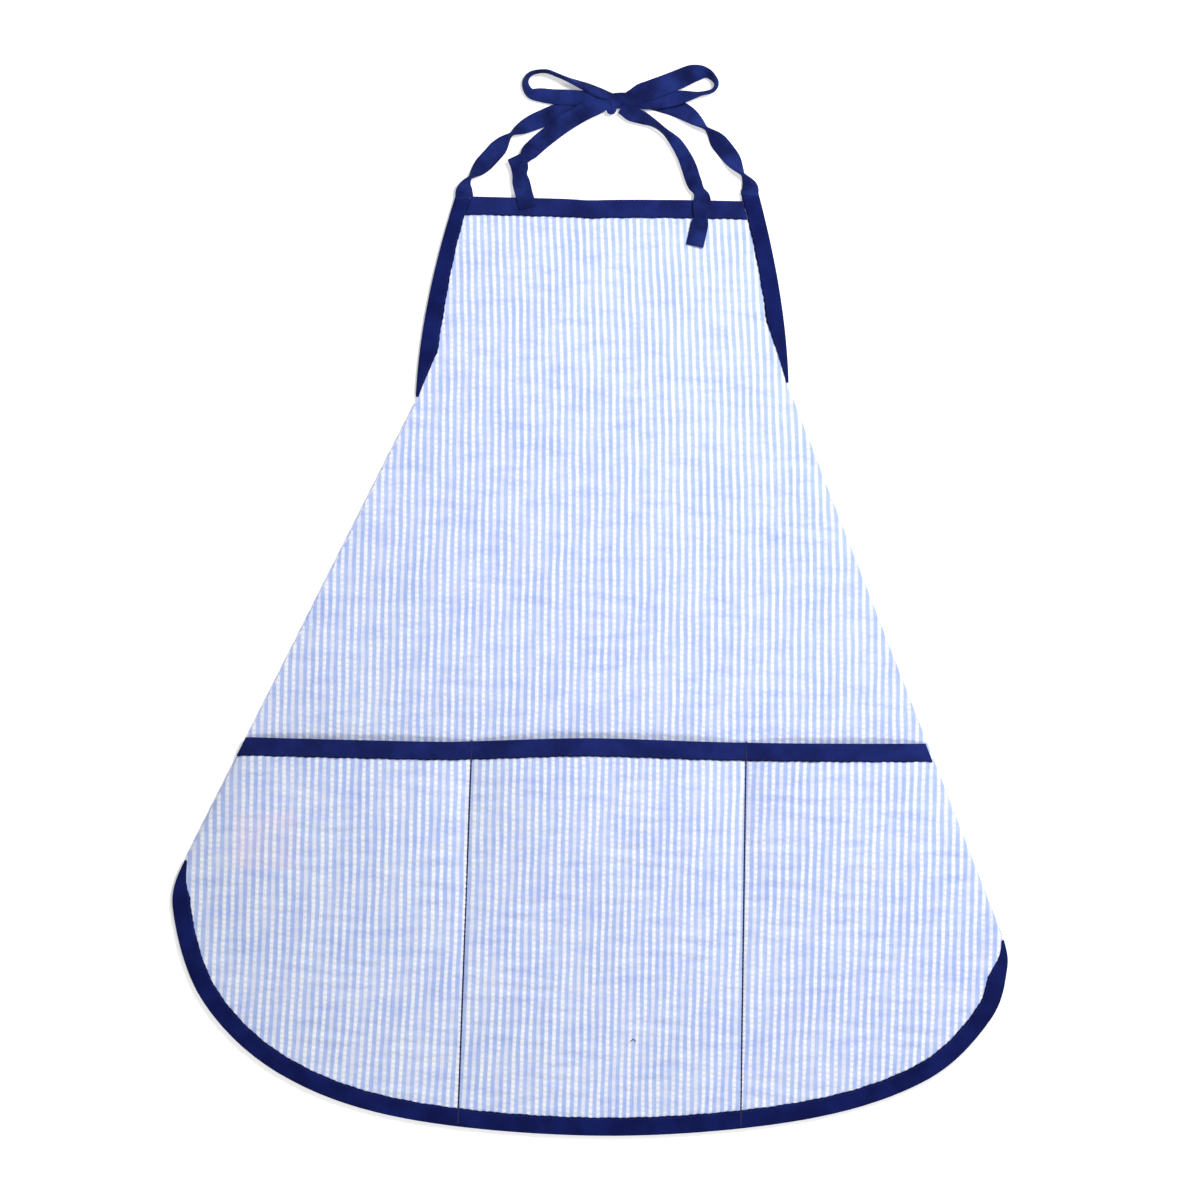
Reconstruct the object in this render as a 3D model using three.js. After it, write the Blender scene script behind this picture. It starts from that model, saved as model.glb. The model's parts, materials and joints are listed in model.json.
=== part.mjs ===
// A bib apron of striped puckered cotton, bound all round with grosgrain tape.
// It lies flat, face up: +X is to its right, +Y is towards the bib, +Z is up.
// Both sides of the skirt are folded behind it as flaps, and its neck ties are tied in a bow.
// Millimetres. The origin is under the middle of the cloth, on the surface that it lies on.
import * as THREE from 'three';

// ---- Driving dimensions -----------------------------------------------------------------
const bodyLength = 741;        // lowest point of the hem to the top of the bib
const bibWidth = 238.5;        // across the top of the bib, tapes included
const bibSlope = 2.3;          // how much higher the right corner of the bib lies
const armholeDrop = 163;       // top of the bib down to where the left flap starts to fold
const armholeDropRight = 152;
const foldTopLeft = 150.6;     // centre line to the top of the left fold
const foldTopRight = 143;
const foldFootLeft = 331.3;    // centre line to the foot of the left fold, at the hem
const foldFootRight = 311.7;
const footRiseLeft = 219;      // lowest point of the hem up to the foot of the left fold
const footRiseRight = 156;
const skirtLeft = 341.5;       // centre line to the hem's widest place on the left
const skirtRight = 314.8;
const waistHalf = 256;         // centre line to the waist corner, with the flap opened out
const waistDrop = 257;         // top of the bib down to the waist corners
const tapeWidth = 14.5;        // binding and ties, folded in half
const tapeThick = 0.4;
const tieThick = 0.8;          // a tie is the same tape, folded and stitched shut
const clothThick = 0.6;
const ease = 0.3;              // clearance between one layer and the next
const pocketRise = 312;        // lowest point of the hem up to the pocket's mouth
const pocketGape = 6;          // how far the pocket stands open at its mouth
const seamLeftTop = -106.2;    // the two seams that part the pocket into three
const seamLeftFoot = -117.6;
const seamRightTop = 109.4;
const seamRightFoot = 105;
const seamWidth = 1.2;
const labelSize = [50, 46];    // blank care label, behind the left end of the pocket
const labelPlace = [-267.5, 232];
const labelThick = 0.4;
const hingeGap = 0.9;          // from the end of an armhole tape to the start of its neck tie
const knotSize = [24, 16, 3.8];
const knotPlace = [10.2, 70.7]; // from the centre line, and above the top of the bib

// ---- Levels, from the surface up --------------------------------------------------------
const flapLow = tapeThick + ease;
const flapHigh = flapLow + clothThick;
const flapTop = flapHigh + ease + tapeThick;
const frontLow = flapTop + ease;
const frontHigh = frontLow + clothThick;
const edgeLow = frontLow - ease - tapeThick;
const edgeHigh = frontHigh + ease + tapeThick;
const pocketLow = frontHigh + ease;
const hemHigh = pocketLow + clothThick + ease + tapeThick;
const mouthLift = tapeThick + ease;   // the mouth tape passes under the pocket cloth
const tapeInset = tapeThick + ease;   // from a tape's outside edge to the cloth inside it

// ---- Materials --------------------------------------------------------------------------
const seersucker = new THREE.MeshStandardMaterial({ color: 0xd3dff7, roughness: 0.95, metalness: 0 });
const grosgrain = new THREE.MeshStandardMaterial({ color: 0x16236a, roughness: 0.8, metalness: 0 });
const thread = new THREE.MeshStandardMaterial({ color: 0x141b52, roughness: 0.7, metalness: 0 });
const labelSatin = new THREE.MeshStandardMaterial({ color: 0xf3dfe2, roughness: 0.6, metalness: 0 });

// ---- Helpers ----------------------------------------------------------------------------
const point = (x, y) => new THREE.Vector2(x, y);
const lift = (p, z) => new THREE.Vector3(p.x, p.y, z);
const along = (p, direction, distance) => p.clone().addScaledVector(direction, distance);
const span = (from, to, count) => Array.from({ length: count }, (_, i) => from + (to - from) * i / (count - 1));
const smooth = (low, high, x) => THREE.MathUtils.smoothstep(x, low, high);

// A closed mesh from triangles, turned so that its faces point out.
function solid(name, vertices, triangles, material) {
  let volume = 0;
  for (const [a, b, c] of triangles) {
    volume += vertices[a].clone().cross(vertices[b]).dot(vertices[c]);
  }
  const index = triangles.flatMap(([a, b, c]) => (volume > 0 ? [a, b, c] : [a, c, b]));
  const geometry = new THREE.BufferGeometry();
  geometry.setAttribute('position', new THREE.Float32BufferAttribute(vertices.flatMap(v => v.toArray()), 3));
  geometry.setIndex(index);
  geometry.computeVertexNormals();
  const mesh = new THREE.Mesh(geometry, material);
  mesh.name = name;
  return mesh;
}

// A solid through a row of rings with the same number of corners, closed by the two end rings.
function loft(name, rings, cap, material) {
  const corners = rings[0].length;
  const triangles = [];
  for (let i = 0; i + 1 < rings.length; i += 1) {
    for (let j = 0; j < corners; j += 1) {
      const a = i * corners + j;
      const b = i * corners + (j + 1) % corners;
      triangles.push([a, b, a + corners], [b, b + corners, a + corners]);
    }
  }
  const last = (rings.length - 1) * corners;
  for (const [a, b, c] of cap) {
    triangles.push([a, c, b], [last + a, last + b, last + c]);
  }
  return solid(name, rings.flat(), triangles, material);
}

// The unit vectors at the left hand of a path, pointing into a shape that it goes round.
function inwardOf(path) {
  return path.map((p, i) => {
    const before = path[Math.max(i - 1, 0)];
    const after = path[Math.min(i + 1, path.length - 1)];
    const direction = after.clone().sub(before).normalize();
    return point(-direction.y, direction.x);
  });
}

const inset = (path, distance) => inwardOf(path).map((n, i) => along(path[i], n, distance));

// Tape folded round an edge: a C section whose open side looks into the cloth.
function edgeTape(name, path, inward, widths, low, high) {
  const section = (w, base) => [
    [0, low], [w, low], [w, low + tapeThick], [tapeThick, low + tapeThick],
    [tapeThick, high - tapeThick], [w, high - tapeThick], [w, high], [0, high],
  ].map(([s, z]) => [s, z + base]);
  const cap = THREE.ShapeUtils.triangulateShape(section(tapeWidth, 0).map(([s, z]) => point(s, z)), []);
  const rings = path.map((p, i) => {
    const base = p.rise ?? 0;
    return section(widths[i], base).map(([s, z]) => lift(along(p, inward[i], s), z));
  });
  return loft(name, rings, cap, grosgrain);
}

// A flat strip along a route of [x, y, z], with a width at each point. Its first end is cut
// square to the route, or along a given direction.
function ribbon(name, route, widths, thick, material, firstAcross) {
  const flat = route.map(([x, y]) => point(x, y));
  const across = inwardOf(flat);
  if (firstAcross) across[0] = firstAcross.clone().multiplyScalar(Math.sign(across[0].dot(firstAcross)));
  const rings = route.map(([, , z], i) => {
    const half = widths[i] / 2;
    const right = along(flat[i], across[i], -half);
    const left = along(flat[i], across[i], half);
    return [lift(right, z - thick / 2), lift(left, z - thick / 2), lift(left, z + thick / 2), lift(right, z + thick / 2)];
  });
  return loft(name, rings, [[0, 1, 2], [0, 2, 3]], material);
}

// A smooth route through hand-picked points of [x, y, z, width], as a ribbon.
function tie(name, points, thick, steps, firstAcross) {
  const curve = new THREE.CatmullRomCurve3(points.map(([x, y, z]) => new THREE.Vector3(x, y, z)), false, 'centripetal');
  const stations = span(0, 1, steps);
  const route = stations.map(t => curve.getPoint(t).toArray());
  const last = points.length - 1;
  const widths = stations.map(t => {
    const at = Math.min(Math.floor(t * last), last - 1);
    return THREE.MathUtils.lerp(points[at][3], points[at + 1][3], t * last - at);
  });
  return ribbon(name, route, widths, thick, grosgrain, firstAcross);
}

// Cloth of one thickness with a straight-sided outline.
function panel(name, outline, low, high, material) {
  const geometry = new THREE.ExtrudeGeometry(new THREE.Shape(outline), { depth: high - low, bevelEnabled: false });
  geometry.translate(0, 0, low);
  const mesh = new THREE.Mesh(geometry, material);
  mesh.name = name;
  return mesh;
}

// ---- The outline of the laid apron, anticlockwise from the bib's left corner -------------
const bibLeft = point(-bibWidth / 2, bodyLength - bibSlope);
const bibRight = point(bibWidth / 2, bodyLength);
const foldTop = {
  left: point(-foldTopLeft, bodyLength - armholeDrop),
  right: point(foldTopRight, bodyLength - armholeDropRight),
};
const foldFoot = {
  left: point(-foldFootLeft, footRiseLeft),
  right: point(foldFootRight, footRiseRight),
};

// The armhole edge leaves the bib's corner at a slant and turns straight down to the fold.
function armhole(corner, foot, lean) {
  const bend = point(foot.x + lean, foot.y + (corner.y - foot.y) * 0.45);
  return new THREE.QuadraticBezierCurve(corner, bend, foot).getPoints(12);
}
const armholeLeft = armhole(bibLeft, foldTop.left, 3);
const armholeRight = armhole(bibRight, foldTop.right, -1.5).reverse();

// The hem: shares of the skirt's reach on each side and of the rise of each corner.
const hemShape = [
  [-1, 0.82], [-0.932, 0.487], [-0.751, 0.22], [-0.461, 0.061], [0, 0],
  [0.483, 0.078], [0.794, 0.276], [0.957, 0.583], [1, 0.846],
];
const hemCurve = new THREE.SplineCurve([
  foldFoot.left,
  ...hemShape.map(([x, y]) => point(x * (x < 0 ? skirtLeft : skirtRight), y * (x < 0 ? footRiseLeft : footRiseRight))),
  foldFoot.right,
]);
const hem = hemCurve.getSpacedPoints(96);

// The point of the hem's inset line that is straight below a given place across the apron.
function hemIndexAt(x) {
  return hem.findIndex((p, i) => i > 20 && p.x >= x);
}

// ---- Front panel: bib and skirt in one piece ---------------------------------------------
const foldEdge = side => inset(side === 'left'
  ? [foldTop.left, foldFoot.left]
  : [foldFoot.right, foldTop.right], ease);
const topInset = inset([bibRight, bibLeft], tapeInset);
const frontOutline = [
  ...inset(armholeLeft, tapeInset).slice(1, -1),
  ...foldEdge('left'),
  ...inset(hem, tapeInset).slice(1, -1),
  ...foldEdge('right'),
  ...inset(armholeRight, tapeInset).slice(1, -1),
  along(topInset[0], point(-1, 0), tapeInset),
  along(topInset[1], point(1, 0), tapeInset),
];
const frontPanel = panel('front_panel', frontOutline, frontLow, frontHigh, seersucker);

// ---- Bindings of the front ---------------------------------------------------------------
const taper = 60;   // length over which a tape runs out under a fold
const runOut = (path, end) => path.map(p => Math.min(tapeWidth, 1.2 + p.distanceTo(end) * tapeWidth / taper));
const endInward = (inward, first, last) => {
  const turned = inward.map(n => n.clone());
  if (first) turned[0] = first;
  if (last) turned[turned.length - 1] = last;
  return turned;
};
const leftTapePath = armholeLeft.slice(0, -1);
const leftArmholeTape = edgeTape('left_armhole_tape', leftTapePath,
  endInward(inwardOf(leftTapePath), point(1, 0), null), runOut(leftTapePath, foldTop.left), edgeLow, edgeHigh);
const rightTapePath = armholeRight.slice(1);
const rightArmholeTape = edgeTape('right_armhole_tape', rightTapePath,
  endInward(inwardOf(rightTapePath), null, point(-1, 0)), runOut(rightTapePath, foldTop.right), edgeLow, edgeHigh);

// The top tape runs between the armhole tapes, its ends cut to their slant.
const slant = (from, to) => to.clone().sub(from).normalize().multiplyScalar(1 / Math.abs(to.clone().sub(from).normalize().y));
const topEnds = [
  along(bibRight, point(-1, 0), tapeWidth + 2 * ease),
  along(bibLeft, point(1, 0), tapeWidth + 2 * ease),
];
const topPath = span(0, 1, 5).map(t => topEnds[0].clone().lerp(topEnds[1], t));
const topInward = endInward(inwardOf(topPath), slant(bibRight, armholeRight.at(-2)), slant(bibLeft, armholeLeft[1]));
const topTape = edgeTape('top_edge_tape', topPath, topInward, topPath.map(() => tapeWidth), edgeLow, edgeHigh);

const hemRun = hem.slice(1, -1);
const hemTape = edgeTape('hem_tape', hemRun, inwardOf(hem).slice(1, -1),
  hemRun.map(p => Math.min(tapeWidth, 1.2 + Math.min(p.distanceTo(foldFoot.left), p.distanceTo(foldFoot.right)) * 0.4)),
  edgeLow, hemHigh);

// ---- Pocket: one cloth over the whole skirt, parted into three by two seams --------------
// Columns run from the mouth to the hem; each seam and each fold is a column of its own.
const foldAt = (side, y) => {
  const t = (foldTop[side].y - y) / (foldTop[side].y - foldFoot[side].y);
  return foldTop[side].clone().lerp(foldFoot[side], t);
};
const hemInner = inset(hem, tapeInset);
const columnsPer = [10, 12, 10];
const mouthEnds = [foldAt('left', pocketRise).x + ease * 2, seamLeftTop, seamRightTop, foldAt('right', pocketRise).x - ease * 2];
const hemEnds = [1, hemIndexAt(seamLeftFoot), hemIndexAt(seamRightFoot), hem.length - 2];
const hemPointAt = index => {
  const at = Math.min(Math.floor(index), hemInner.length - 2);
  return hemInner[at].clone().lerp(hemInner[at + 1], index - at);
};
const columns = [];
for (let k = 0; k < 3; k += 1) {
  for (const t of span(0, 1, columnsPer[k] + 1).slice(k ? 1 : 0)) {
    columns.push({
      mouth: point(THREE.MathUtils.lerp(mouthEnds[k], mouthEnds[k + 1], t), pocketRise),
      foot: hemPointAt(THREE.MathUtils.lerp(hemEnds[k], hemEnds[k + 1], t)),
      bulge: 1 - (2 * t - 1) ** 4,
    });
  }
}
const rowsDown = [0, 0.05, 0.1, 0.2, 0.3, 0.42, 0.55, 0.68, 0.8, 0.9, 0.95, 1];

// Height of the pocket above its flat level, a distance down a column from the mouth:
// the full gape at the mouth, and nothing where the hem tape holds it.
function pocketLift(column, down) {
  const length = column.mouth.distanceTo(column.foot);
  const share = 1 - smooth(tapeWidth + 2, length - tapeWidth - 3, down);
  return (mouthLift + pocketGape * column.bulge) * share;
}
function columnPoint(column, down) {
  const direction = column.foot.clone().sub(column.mouth).normalize();
  return lift(along(column.mouth, direction, down), pocketLow + pocketLift(column, down));
}
function stationsDown(column) {
  const length = column.mouth.distanceTo(column.foot);
  return rowsDown.map(t => {
    const free = length - 2 * (tapeWidth + 2);
    if (t === 0) return 0;
    if (t === 1) return length;
    return tapeWidth + 2 + free * (t - 0.05) / 0.9;
  });
}

function pocketSolid() {
  const rows = rowsDown.length;
  const vertices = [];
  for (const thick of [0, clothThick]) {
    for (const column of columns) {
      for (const down of stationsDown(column)) {
        vertices.push(columnPoint(column, down).add(new THREE.Vector3(0, 0, thick)));
      }
    }
  }
  const at = (layer, column, row) => (layer * columns.length + column) * rows + row;
  const triangles = [];
  for (let c = 0; c + 1 < columns.length; c += 1) {
    for (let r = 0; r + 1 < rows; r += 1) {
      for (const layer of [0, 1]) {
        const quad = [at(layer, c, r), at(layer, c, r + 1), at(layer, c + 1, r + 1), at(layer, c + 1, r)];
        if (layer === 0) quad.reverse();
        triangles.push([quad[0], quad[1], quad[2]], [quad[0], quad[2], quad[3]]);
      }
    }
  }
  const wall = (a, b) => triangles.push([a, b, b + columns.length * rows], [a, b + columns.length * rows, a + columns.length * rows]);
  for (let c = 0; c + 1 < columns.length; c += 1) {
    wall(at(0, c + 1, 0), at(0, c, 0));
    wall(at(0, c, rows - 1), at(0, c + 1, rows - 1));
  }
  for (let r = 0; r + 1 < rows; r += 1) {
    wall(at(0, 0, r), at(0, 0, r + 1));
    wall(at(0, columns.length - 1, r + 1), at(0, columns.length - 1, r));
  }
  return solid('pocket_panel', vertices, triangles, seersucker);
}
const pocketPanel = pocketSolid();

// The mouth tape follows the same columns, so it stands off the pocket by the same ease.
const mouthDown = columns.map(({ mouth, foot }) => foot.clone().sub(mouth).normalize());
const mouthPath = columns.map((column, i) => {
  const p = along(column.mouth, mouthDown[i], -tapeInset);
  p.rise = pocketLift(column, 0);
  return p;
});
const mouthTape = edgeTape('pocket_mouth_tape', mouthPath, mouthDown, mouthPath.map(() => tapeWidth),
  pocketLow - ease - tapeThick, pocketLow + clothThick + ease + tapeThick);

function dividerSeam(name, column) {
  const rows = stationsDown(column).slice(1, -1);
  const route = rows.map(down => {
    const p = columnPoint(column, down);
    return [p.x, p.y, p.z + clothThick + ease + tapeThick / 2];
  });
  return ribbon(name, route, route.map(() => seamWidth), tapeThick, thread);
}
const leftSeam = dividerSeam('left_divider_seam', columns[columnsPer[0]]);
const rightSeam = dividerSeam('right_divider_seam', columns[columnsPer[0] + columnsPer[1]]);

// ---- Care label, blank, behind the front -------------------------------------------------
const careLabel = new THREE.Mesh(new THREE.BoxGeometry(...labelSize, labelThick), labelSatin);
careLabel.name = 'care_label';
careLabel.position.set(...labelPlace, frontLow - ease - labelThick / 2);

// ---- Side flaps --------------------------------------------------------------------------
// Each is drawn in its fold's own directions: u down the fold, v in under the apron.
const tieRun = 92;         // from the fold to the waist tie's first run
const tieTurn = 36;        // radius of its turn
const tieTurnAt = 330;     // down the fold to the middle of the turn
const tieEnd = 48;         // down the fold to the tie's free end
function flap(side) {
  const top = foldTop[side];
  const foot = foldFoot[side];
  const down = foot.clone().sub(top).normalize();
  const under = side === 'left' ? point(-down.y, down.x) : point(down.y, -down.x);
  const place = (u, v) => along(along(top, down, u), under, v);
  const length = top.distanceTo(foot);
  const waist = point(side === 'left' ? -waistHalf : waistHalf, bodyLength - waistDrop).sub(top);
  const waistU = waist.dot(down);
  const waistV = -waist.dot(under);
  const armEdge = new THREE.QuadraticBezierCurve(point(0, 0), point(waistU * 0.76, 0), point(waistU, waistV));
  const sideEdge = new THREE.QuadraticBezierCurve(
    point(waistU, waistV), point((waistU + length) * 0.55, waistV * 0.48), point(length, 0));
  const armPoints = armEdge.getPoints(14);
  const sidePoints = sideEdge.getPoints(24);
  const reversed = path => path.slice().reverse();

  // An edge path, its inward directions and its widths, kept clear of the fold line.
  const bound = (path, low, firstInward) => {
    const inward = endInward(inwardOf(path), firstInward, null);
    const widths = path.map((p, i) => {
      const room = inward[i].y < 0 ? (p.y - 2 * ease) / -inward[i].y : tapeWidth;
      return Math.min(tapeWidth, room);
    });
    const kept = path.map((p, i) => i).filter(i => widths[i] > low);
    return {
      path: kept.map(i => place(path[i].x, path[i].y)),
      inward: kept.map(i => place(inward[i].x, inward[i].y).sub(top)),
      widths: kept.map(i => widths[i]),
    };
  };
  const leave = armPoints.at(-1).clone().sub(armPoints.at(-2)).normalize();
  const sideWay = sidePoints[1].clone().sub(sidePoints[0]).normalize();
  const mitre = sideWay.clone().multiplyScalar(1 / Math.abs(leave.cross(sideWay)));
  const arm = bound(reversed(armPoints), 2.5, mitre);
  const cornerLength = tapeWidth * mitre.length() + 4 * ease;
  const edge = bound(reversed(sidePoints.filter(p => p.distanceTo(sidePoints[0]) > cornerLength)), 1.5);

  const insetLocal = path => inwardOf(path).map((n, i) => along(path[i], n, tapeInset));
  const outline = [
    ...insetLocal(reversed(sidePoints)).slice(1, -1),
    ...insetLocal(reversed(armPoints)),
  ].filter(p => p.y > ease);
  outline.push(point(outline.at(-1).x, ease), point(length - outline.at(-1).x, ease));
  const cloth = panel(`${side}_flap_panel`, outline.map(p => place(p.x, p.y)), flapLow, flapHigh, seersucker);
  const armTape = edgeTape(`${side}_flap_armhole_tape`, arm.path, arm.inward, arm.widths, 0, flapTop);
  const sideTape = edgeTape(`${side}_side_tape`, edge.path, edge.inward, edge.widths, 0, flapTop);

  // The waist tie carries on from the armhole tape and lies doubled back behind the front.
  const start = along(along(armPoints.at(-1), leave, ease * 2), mitre, tapeWidth / 2);
  const middle = (flapLow + flapHigh) / 2;
  const low = tieThick / 2 + ease;
  const turn = span(0, Math.PI, 7).map(a => [
    tieTurnAt + tieTurn * Math.sin(a), tieRun + tieTurn * (1 - Math.cos(a)), low]);
  const local = [
    [start.x, start.y, middle],
    [start.x + leave.x * 8, start.y + leave.y * 8, middle],
    [start.x + leave.x * 26, start.y + leave.y * 22, low],
    [start.x + 38, tieRun - 5, low],
    [(start.x + tieTurnAt) * 0.55, tieRun, low],
    ...turn,
    [(tieTurnAt + tieEnd) * 0.62, tieRun + 2 * tieTurn, low],
    [(tieTurnAt + tieEnd) * 0.36, tieRun + 2 * tieTurn - 3, low],
    [tieEnd, tieRun + 2 * tieTurn - 5, low],
  ];
  const points = local.map(([u, v, z]) => {
    const p = place(u, v);
    return [p.x, p.y, z, tapeWidth];
  });
  const square = place(sideWay.x, sideWay.y).sub(top);
  const waistTie = tie(`${side}_waist_tie`, points, tieThick, 60, square);
  return { cloth, armTape, sideTape, waistTie };
}
const leftFlap = flap('left');
const rightFlap = flap('right');

// ---- Neck ties, tied in a bow ------------------------------------------------------------
// Routes are [x, y above the top of the bib, z, width]; a narrow place is a twist.
const bowLevel = 2.1;
const tailLevel = 3.7;
const tailOver = edgeHigh + ease + tieThick / 2;
const tieLevel = edgeHigh - tieThick / 2;
const full = tapeWidth - 0.5;
const raise = route => route.map(([x, y, z, w]) => [x, bodyLength + y, z, w]);
const leftNeckTie = tie('left_neck_tie', raise([
  [-bibWidth / 2 + full / 2, -bibSlope + hingeGap, tieLevel, full], [-bibWidth / 2 + full / 2, 3, tieLevel - 0.2, 12],
  [-108.9, 9, 2.2, 4.5], [-97.6, 22.5, 1.2, 12.5], [-86.6, 34.5, 0.8, 12.5],
  [-76.3, 45.5, 0.8, 5], [-64.5, 52.6, 0.75, 10], [-45.6, 61.3, 0.7, full], [-21.2, 70, 0.7, 12],
  [-2.6, 72.4, 0.7, 9],
]), tieThick, 40, point(-1, 0));
const rightNeckTie = tie('right_neck_tie', raise([
  [bibWidth / 2 - full / 2, hingeGap, tieLevel, full], [bibWidth / 2 - full / 2, 5, tieLevel - 0.2, 12],
  [108.2, 11, 2.2, 5], [97.6, 28.2, 1.2, 12.5], [88.9, 39.3, 0.8, 12],
  [79.5, 49.5, 0.8, 5], [65.3, 61.3, 0.75, 12], [51.2, 68.4, 0.7, full], [29.9, 72.3, 0.7, 11],
  [23, 72.3, 0.7, 9],
]), tieThick, 40, point(-1, 0));
const leftBowLoop = tie('left_bow_loop', raise([
  [-2.4, 76.4, bowLevel, 5], [-24.4, 87.2, bowLevel, 6], [-46.4, 95.4, bowLevel, 5],
  [-61.8, 91.2, bowLevel, 6], [-61.8, 82.2, bowLevel, 6], [-46.4, 76.4, bowLevel, 7],
  [-25.2, 74.6, bowLevel, 7], [-2.6, 68.6, bowLevel, 5],
]), 1, 40);
const rightBowLoop = tie('right_bow_loop', raise([
  [22.8, 76.4, bowLevel, 5], [37.8, 83.5, bowLevel, 7], [57.5, 91.4, bowLevel, 8],
  [73.2, 95.9, bowLevel, 6], [83.8, 90.6, bowLevel, 5], [83.2, 80.4, bowLevel, 5],
  [71.6, 75, bowLevel, 5], [53.5, 73.3, bowLevel, 5], [23, 68.6, bowLevel, 5],
]), 1, 40);
const leftTail = tie('left_tie_tail', raise([
  [-2.6, 65, tailLevel, 5], [-12, 62.2, tailLevel, 9], [-25.2, 59.8, tailLevel, 12.5],
  [-40.1, 49.5, tailLevel, full], [-52.7, 37.7, tailLevel, full], [-62.2, 28.6, tailLevel, 13],
  [-68.2, 20.3, tailLevel, 12], [-67.7, 9.3, tailOver, 13], [-65.3, -1.7, tailOver, full],
  [-63, -11.9, tailOver, full],
]), tieThick, 40);
const rightTail = tie('right_tie_tail', raise([
  [15, 61.8, tailLevel, 8], [16.8, 58.4, tailLevel, 9], [21.5, 56.2, tailLevel, 10], [29.9, 55.6, tailLevel, 11],
  [39.4, 51.8, tailLevel, 6], [49.6, 43.2, tailLevel, 11], [58.2, 30.6, tailLevel, full],
  [68.5, 10.9, tailOver, 13], [74.8, -3.2, tailOver, 9], [74.8, -18.2, tailOver, 11],
  [73.2, -30, tailOver, full], [68.5, -41.8, tailOver, full],
]), tieThick, 44, point(1, 0));

function bowKnot() {
  const [wide, deep, high] = knotSize;
  const corner = 3;
  const bevel = 1;
  const x = wide / 2 - bevel;
  const y = deep / 2 - bevel;
  const outline = new THREE.Shape();
  outline.moveTo(-x + corner, -y);
  outline.lineTo(x - corner, -y).absarc(x - corner, -y + corner, corner, -Math.PI / 2, 0);
  outline.lineTo(x, y - corner).absarc(x - corner, y - corner, corner, 0, Math.PI / 2);
  outline.lineTo(-x + corner, y).absarc(-x + corner, y - corner, corner, Math.PI / 2, Math.PI);
  outline.lineTo(-x, -y + corner).absarc(-x + corner, -y + corner, corner, Math.PI, Math.PI * 1.5);
  const geometry = new THREE.ExtrudeGeometry(outline, {
    depth: high - 2 * bevel, bevelEnabled: true, bevelSize: bevel, bevelThickness: bevel, bevelSegments: 2, curveSegments: 6,
  });
  const mesh = new THREE.Mesh(geometry, grosgrain);
  mesh.name = 'bow_knot';
  mesh.position.set(knotPlace[0], bodyLength + knotPlace[1], ease + bevel);
  return mesh;
}

// ---- The apron, moved so that its origin is under the middle of the cloth ----------------
const apron = new THREE.Group();
apron.add(
  frontPanel, leftArmholeTape, rightArmholeTape, topTape, hemTape, pocketPanel, mouthTape, leftSeam, rightSeam,
  careLabel, leftFlap.cloth, leftFlap.armTape, leftFlap.sideTape, rightFlap.cloth, rightFlap.armTape, rightFlap.sideTape,
);
apron.updateMatrixWorld(true);
const middle = new THREE.Box3().setFromObject(apron).getCenter(new THREE.Vector3());
apron.add(
  leftFlap.waistTie, rightFlap.waistTie, leftNeckTie, rightNeckTie, bowKnot(), leftBowLoop, rightBowLoop, leftTail, rightTail,
);
apron.position.set(-middle.x, -middle.y, 0);

export default apron;
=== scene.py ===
# %% [markdown]
# A bib apron, laid flat on its back
# The real apron is puckered striped cotton, bound all round with navy grosgrain tape. Both sides of its
# skirt are folded behind it, and its neck ties are tied in a bow. The frame holds its plain working
# model: every size and place below comes from that, and each plain cloth is replaced by a sewn one.

# %% The frame
import json
import math
import bpy
import numpy as np
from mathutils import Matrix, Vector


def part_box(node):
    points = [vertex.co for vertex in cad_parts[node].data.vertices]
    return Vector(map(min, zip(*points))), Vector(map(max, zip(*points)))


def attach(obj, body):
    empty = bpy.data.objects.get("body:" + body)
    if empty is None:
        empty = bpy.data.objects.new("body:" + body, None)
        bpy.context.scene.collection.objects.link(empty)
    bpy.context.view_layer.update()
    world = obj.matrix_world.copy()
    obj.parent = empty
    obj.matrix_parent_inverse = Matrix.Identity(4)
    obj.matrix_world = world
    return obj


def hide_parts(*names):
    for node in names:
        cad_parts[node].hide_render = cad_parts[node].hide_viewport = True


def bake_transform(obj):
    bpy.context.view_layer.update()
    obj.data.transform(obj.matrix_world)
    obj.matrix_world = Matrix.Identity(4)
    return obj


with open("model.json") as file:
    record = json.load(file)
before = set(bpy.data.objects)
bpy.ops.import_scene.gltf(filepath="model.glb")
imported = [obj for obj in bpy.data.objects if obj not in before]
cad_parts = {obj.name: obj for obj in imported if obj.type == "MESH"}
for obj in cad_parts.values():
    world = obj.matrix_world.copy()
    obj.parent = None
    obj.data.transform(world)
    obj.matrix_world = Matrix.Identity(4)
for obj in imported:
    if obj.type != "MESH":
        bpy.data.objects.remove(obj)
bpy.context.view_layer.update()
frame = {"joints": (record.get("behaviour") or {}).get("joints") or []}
JOINTS = {joint["name"]: joint for joint in frame["joints"]}

# %% [markdown]
# The camera
# It hangs straight over the apron, as a camera on a copy stand does. A long lens from three metres
# keeps the two sides of the skirt from leaning, so the outline is the true one.

# %% Camera
VIEW_HEIGHT = 3.0
VIEW_WIDTH = 0.9444
SENSOR = 36.0
VIEW_CENTRE = (0.0078, 0.0508)

camera_data = bpy.data.cameras.new("copy_stand_camera")
camera_data.sensor_width = SENSOR
camera_data.lens = SENSOR * VIEW_HEIGHT / VIEW_WIDTH
camera = bpy.data.objects.new("copy_stand_camera", camera_data)
camera.location = (*VIEW_CENTRE, VIEW_HEIGHT)
bpy.context.collection.objects.link(camera)
bpy.context.scene.camera = camera
print("lens, mm:", round(camera_data.lens, 1))

# %% [markdown]
# Where things are
# The apron's own directions are handier than the frame's: x runs across from its centre line, and y up
# from the lowest point of the hem. One shift takes them into the frame. The joints give the two lines
# that the cloth is folded along and the place of the neck. A level is the middle of a layer's thickness.

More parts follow.
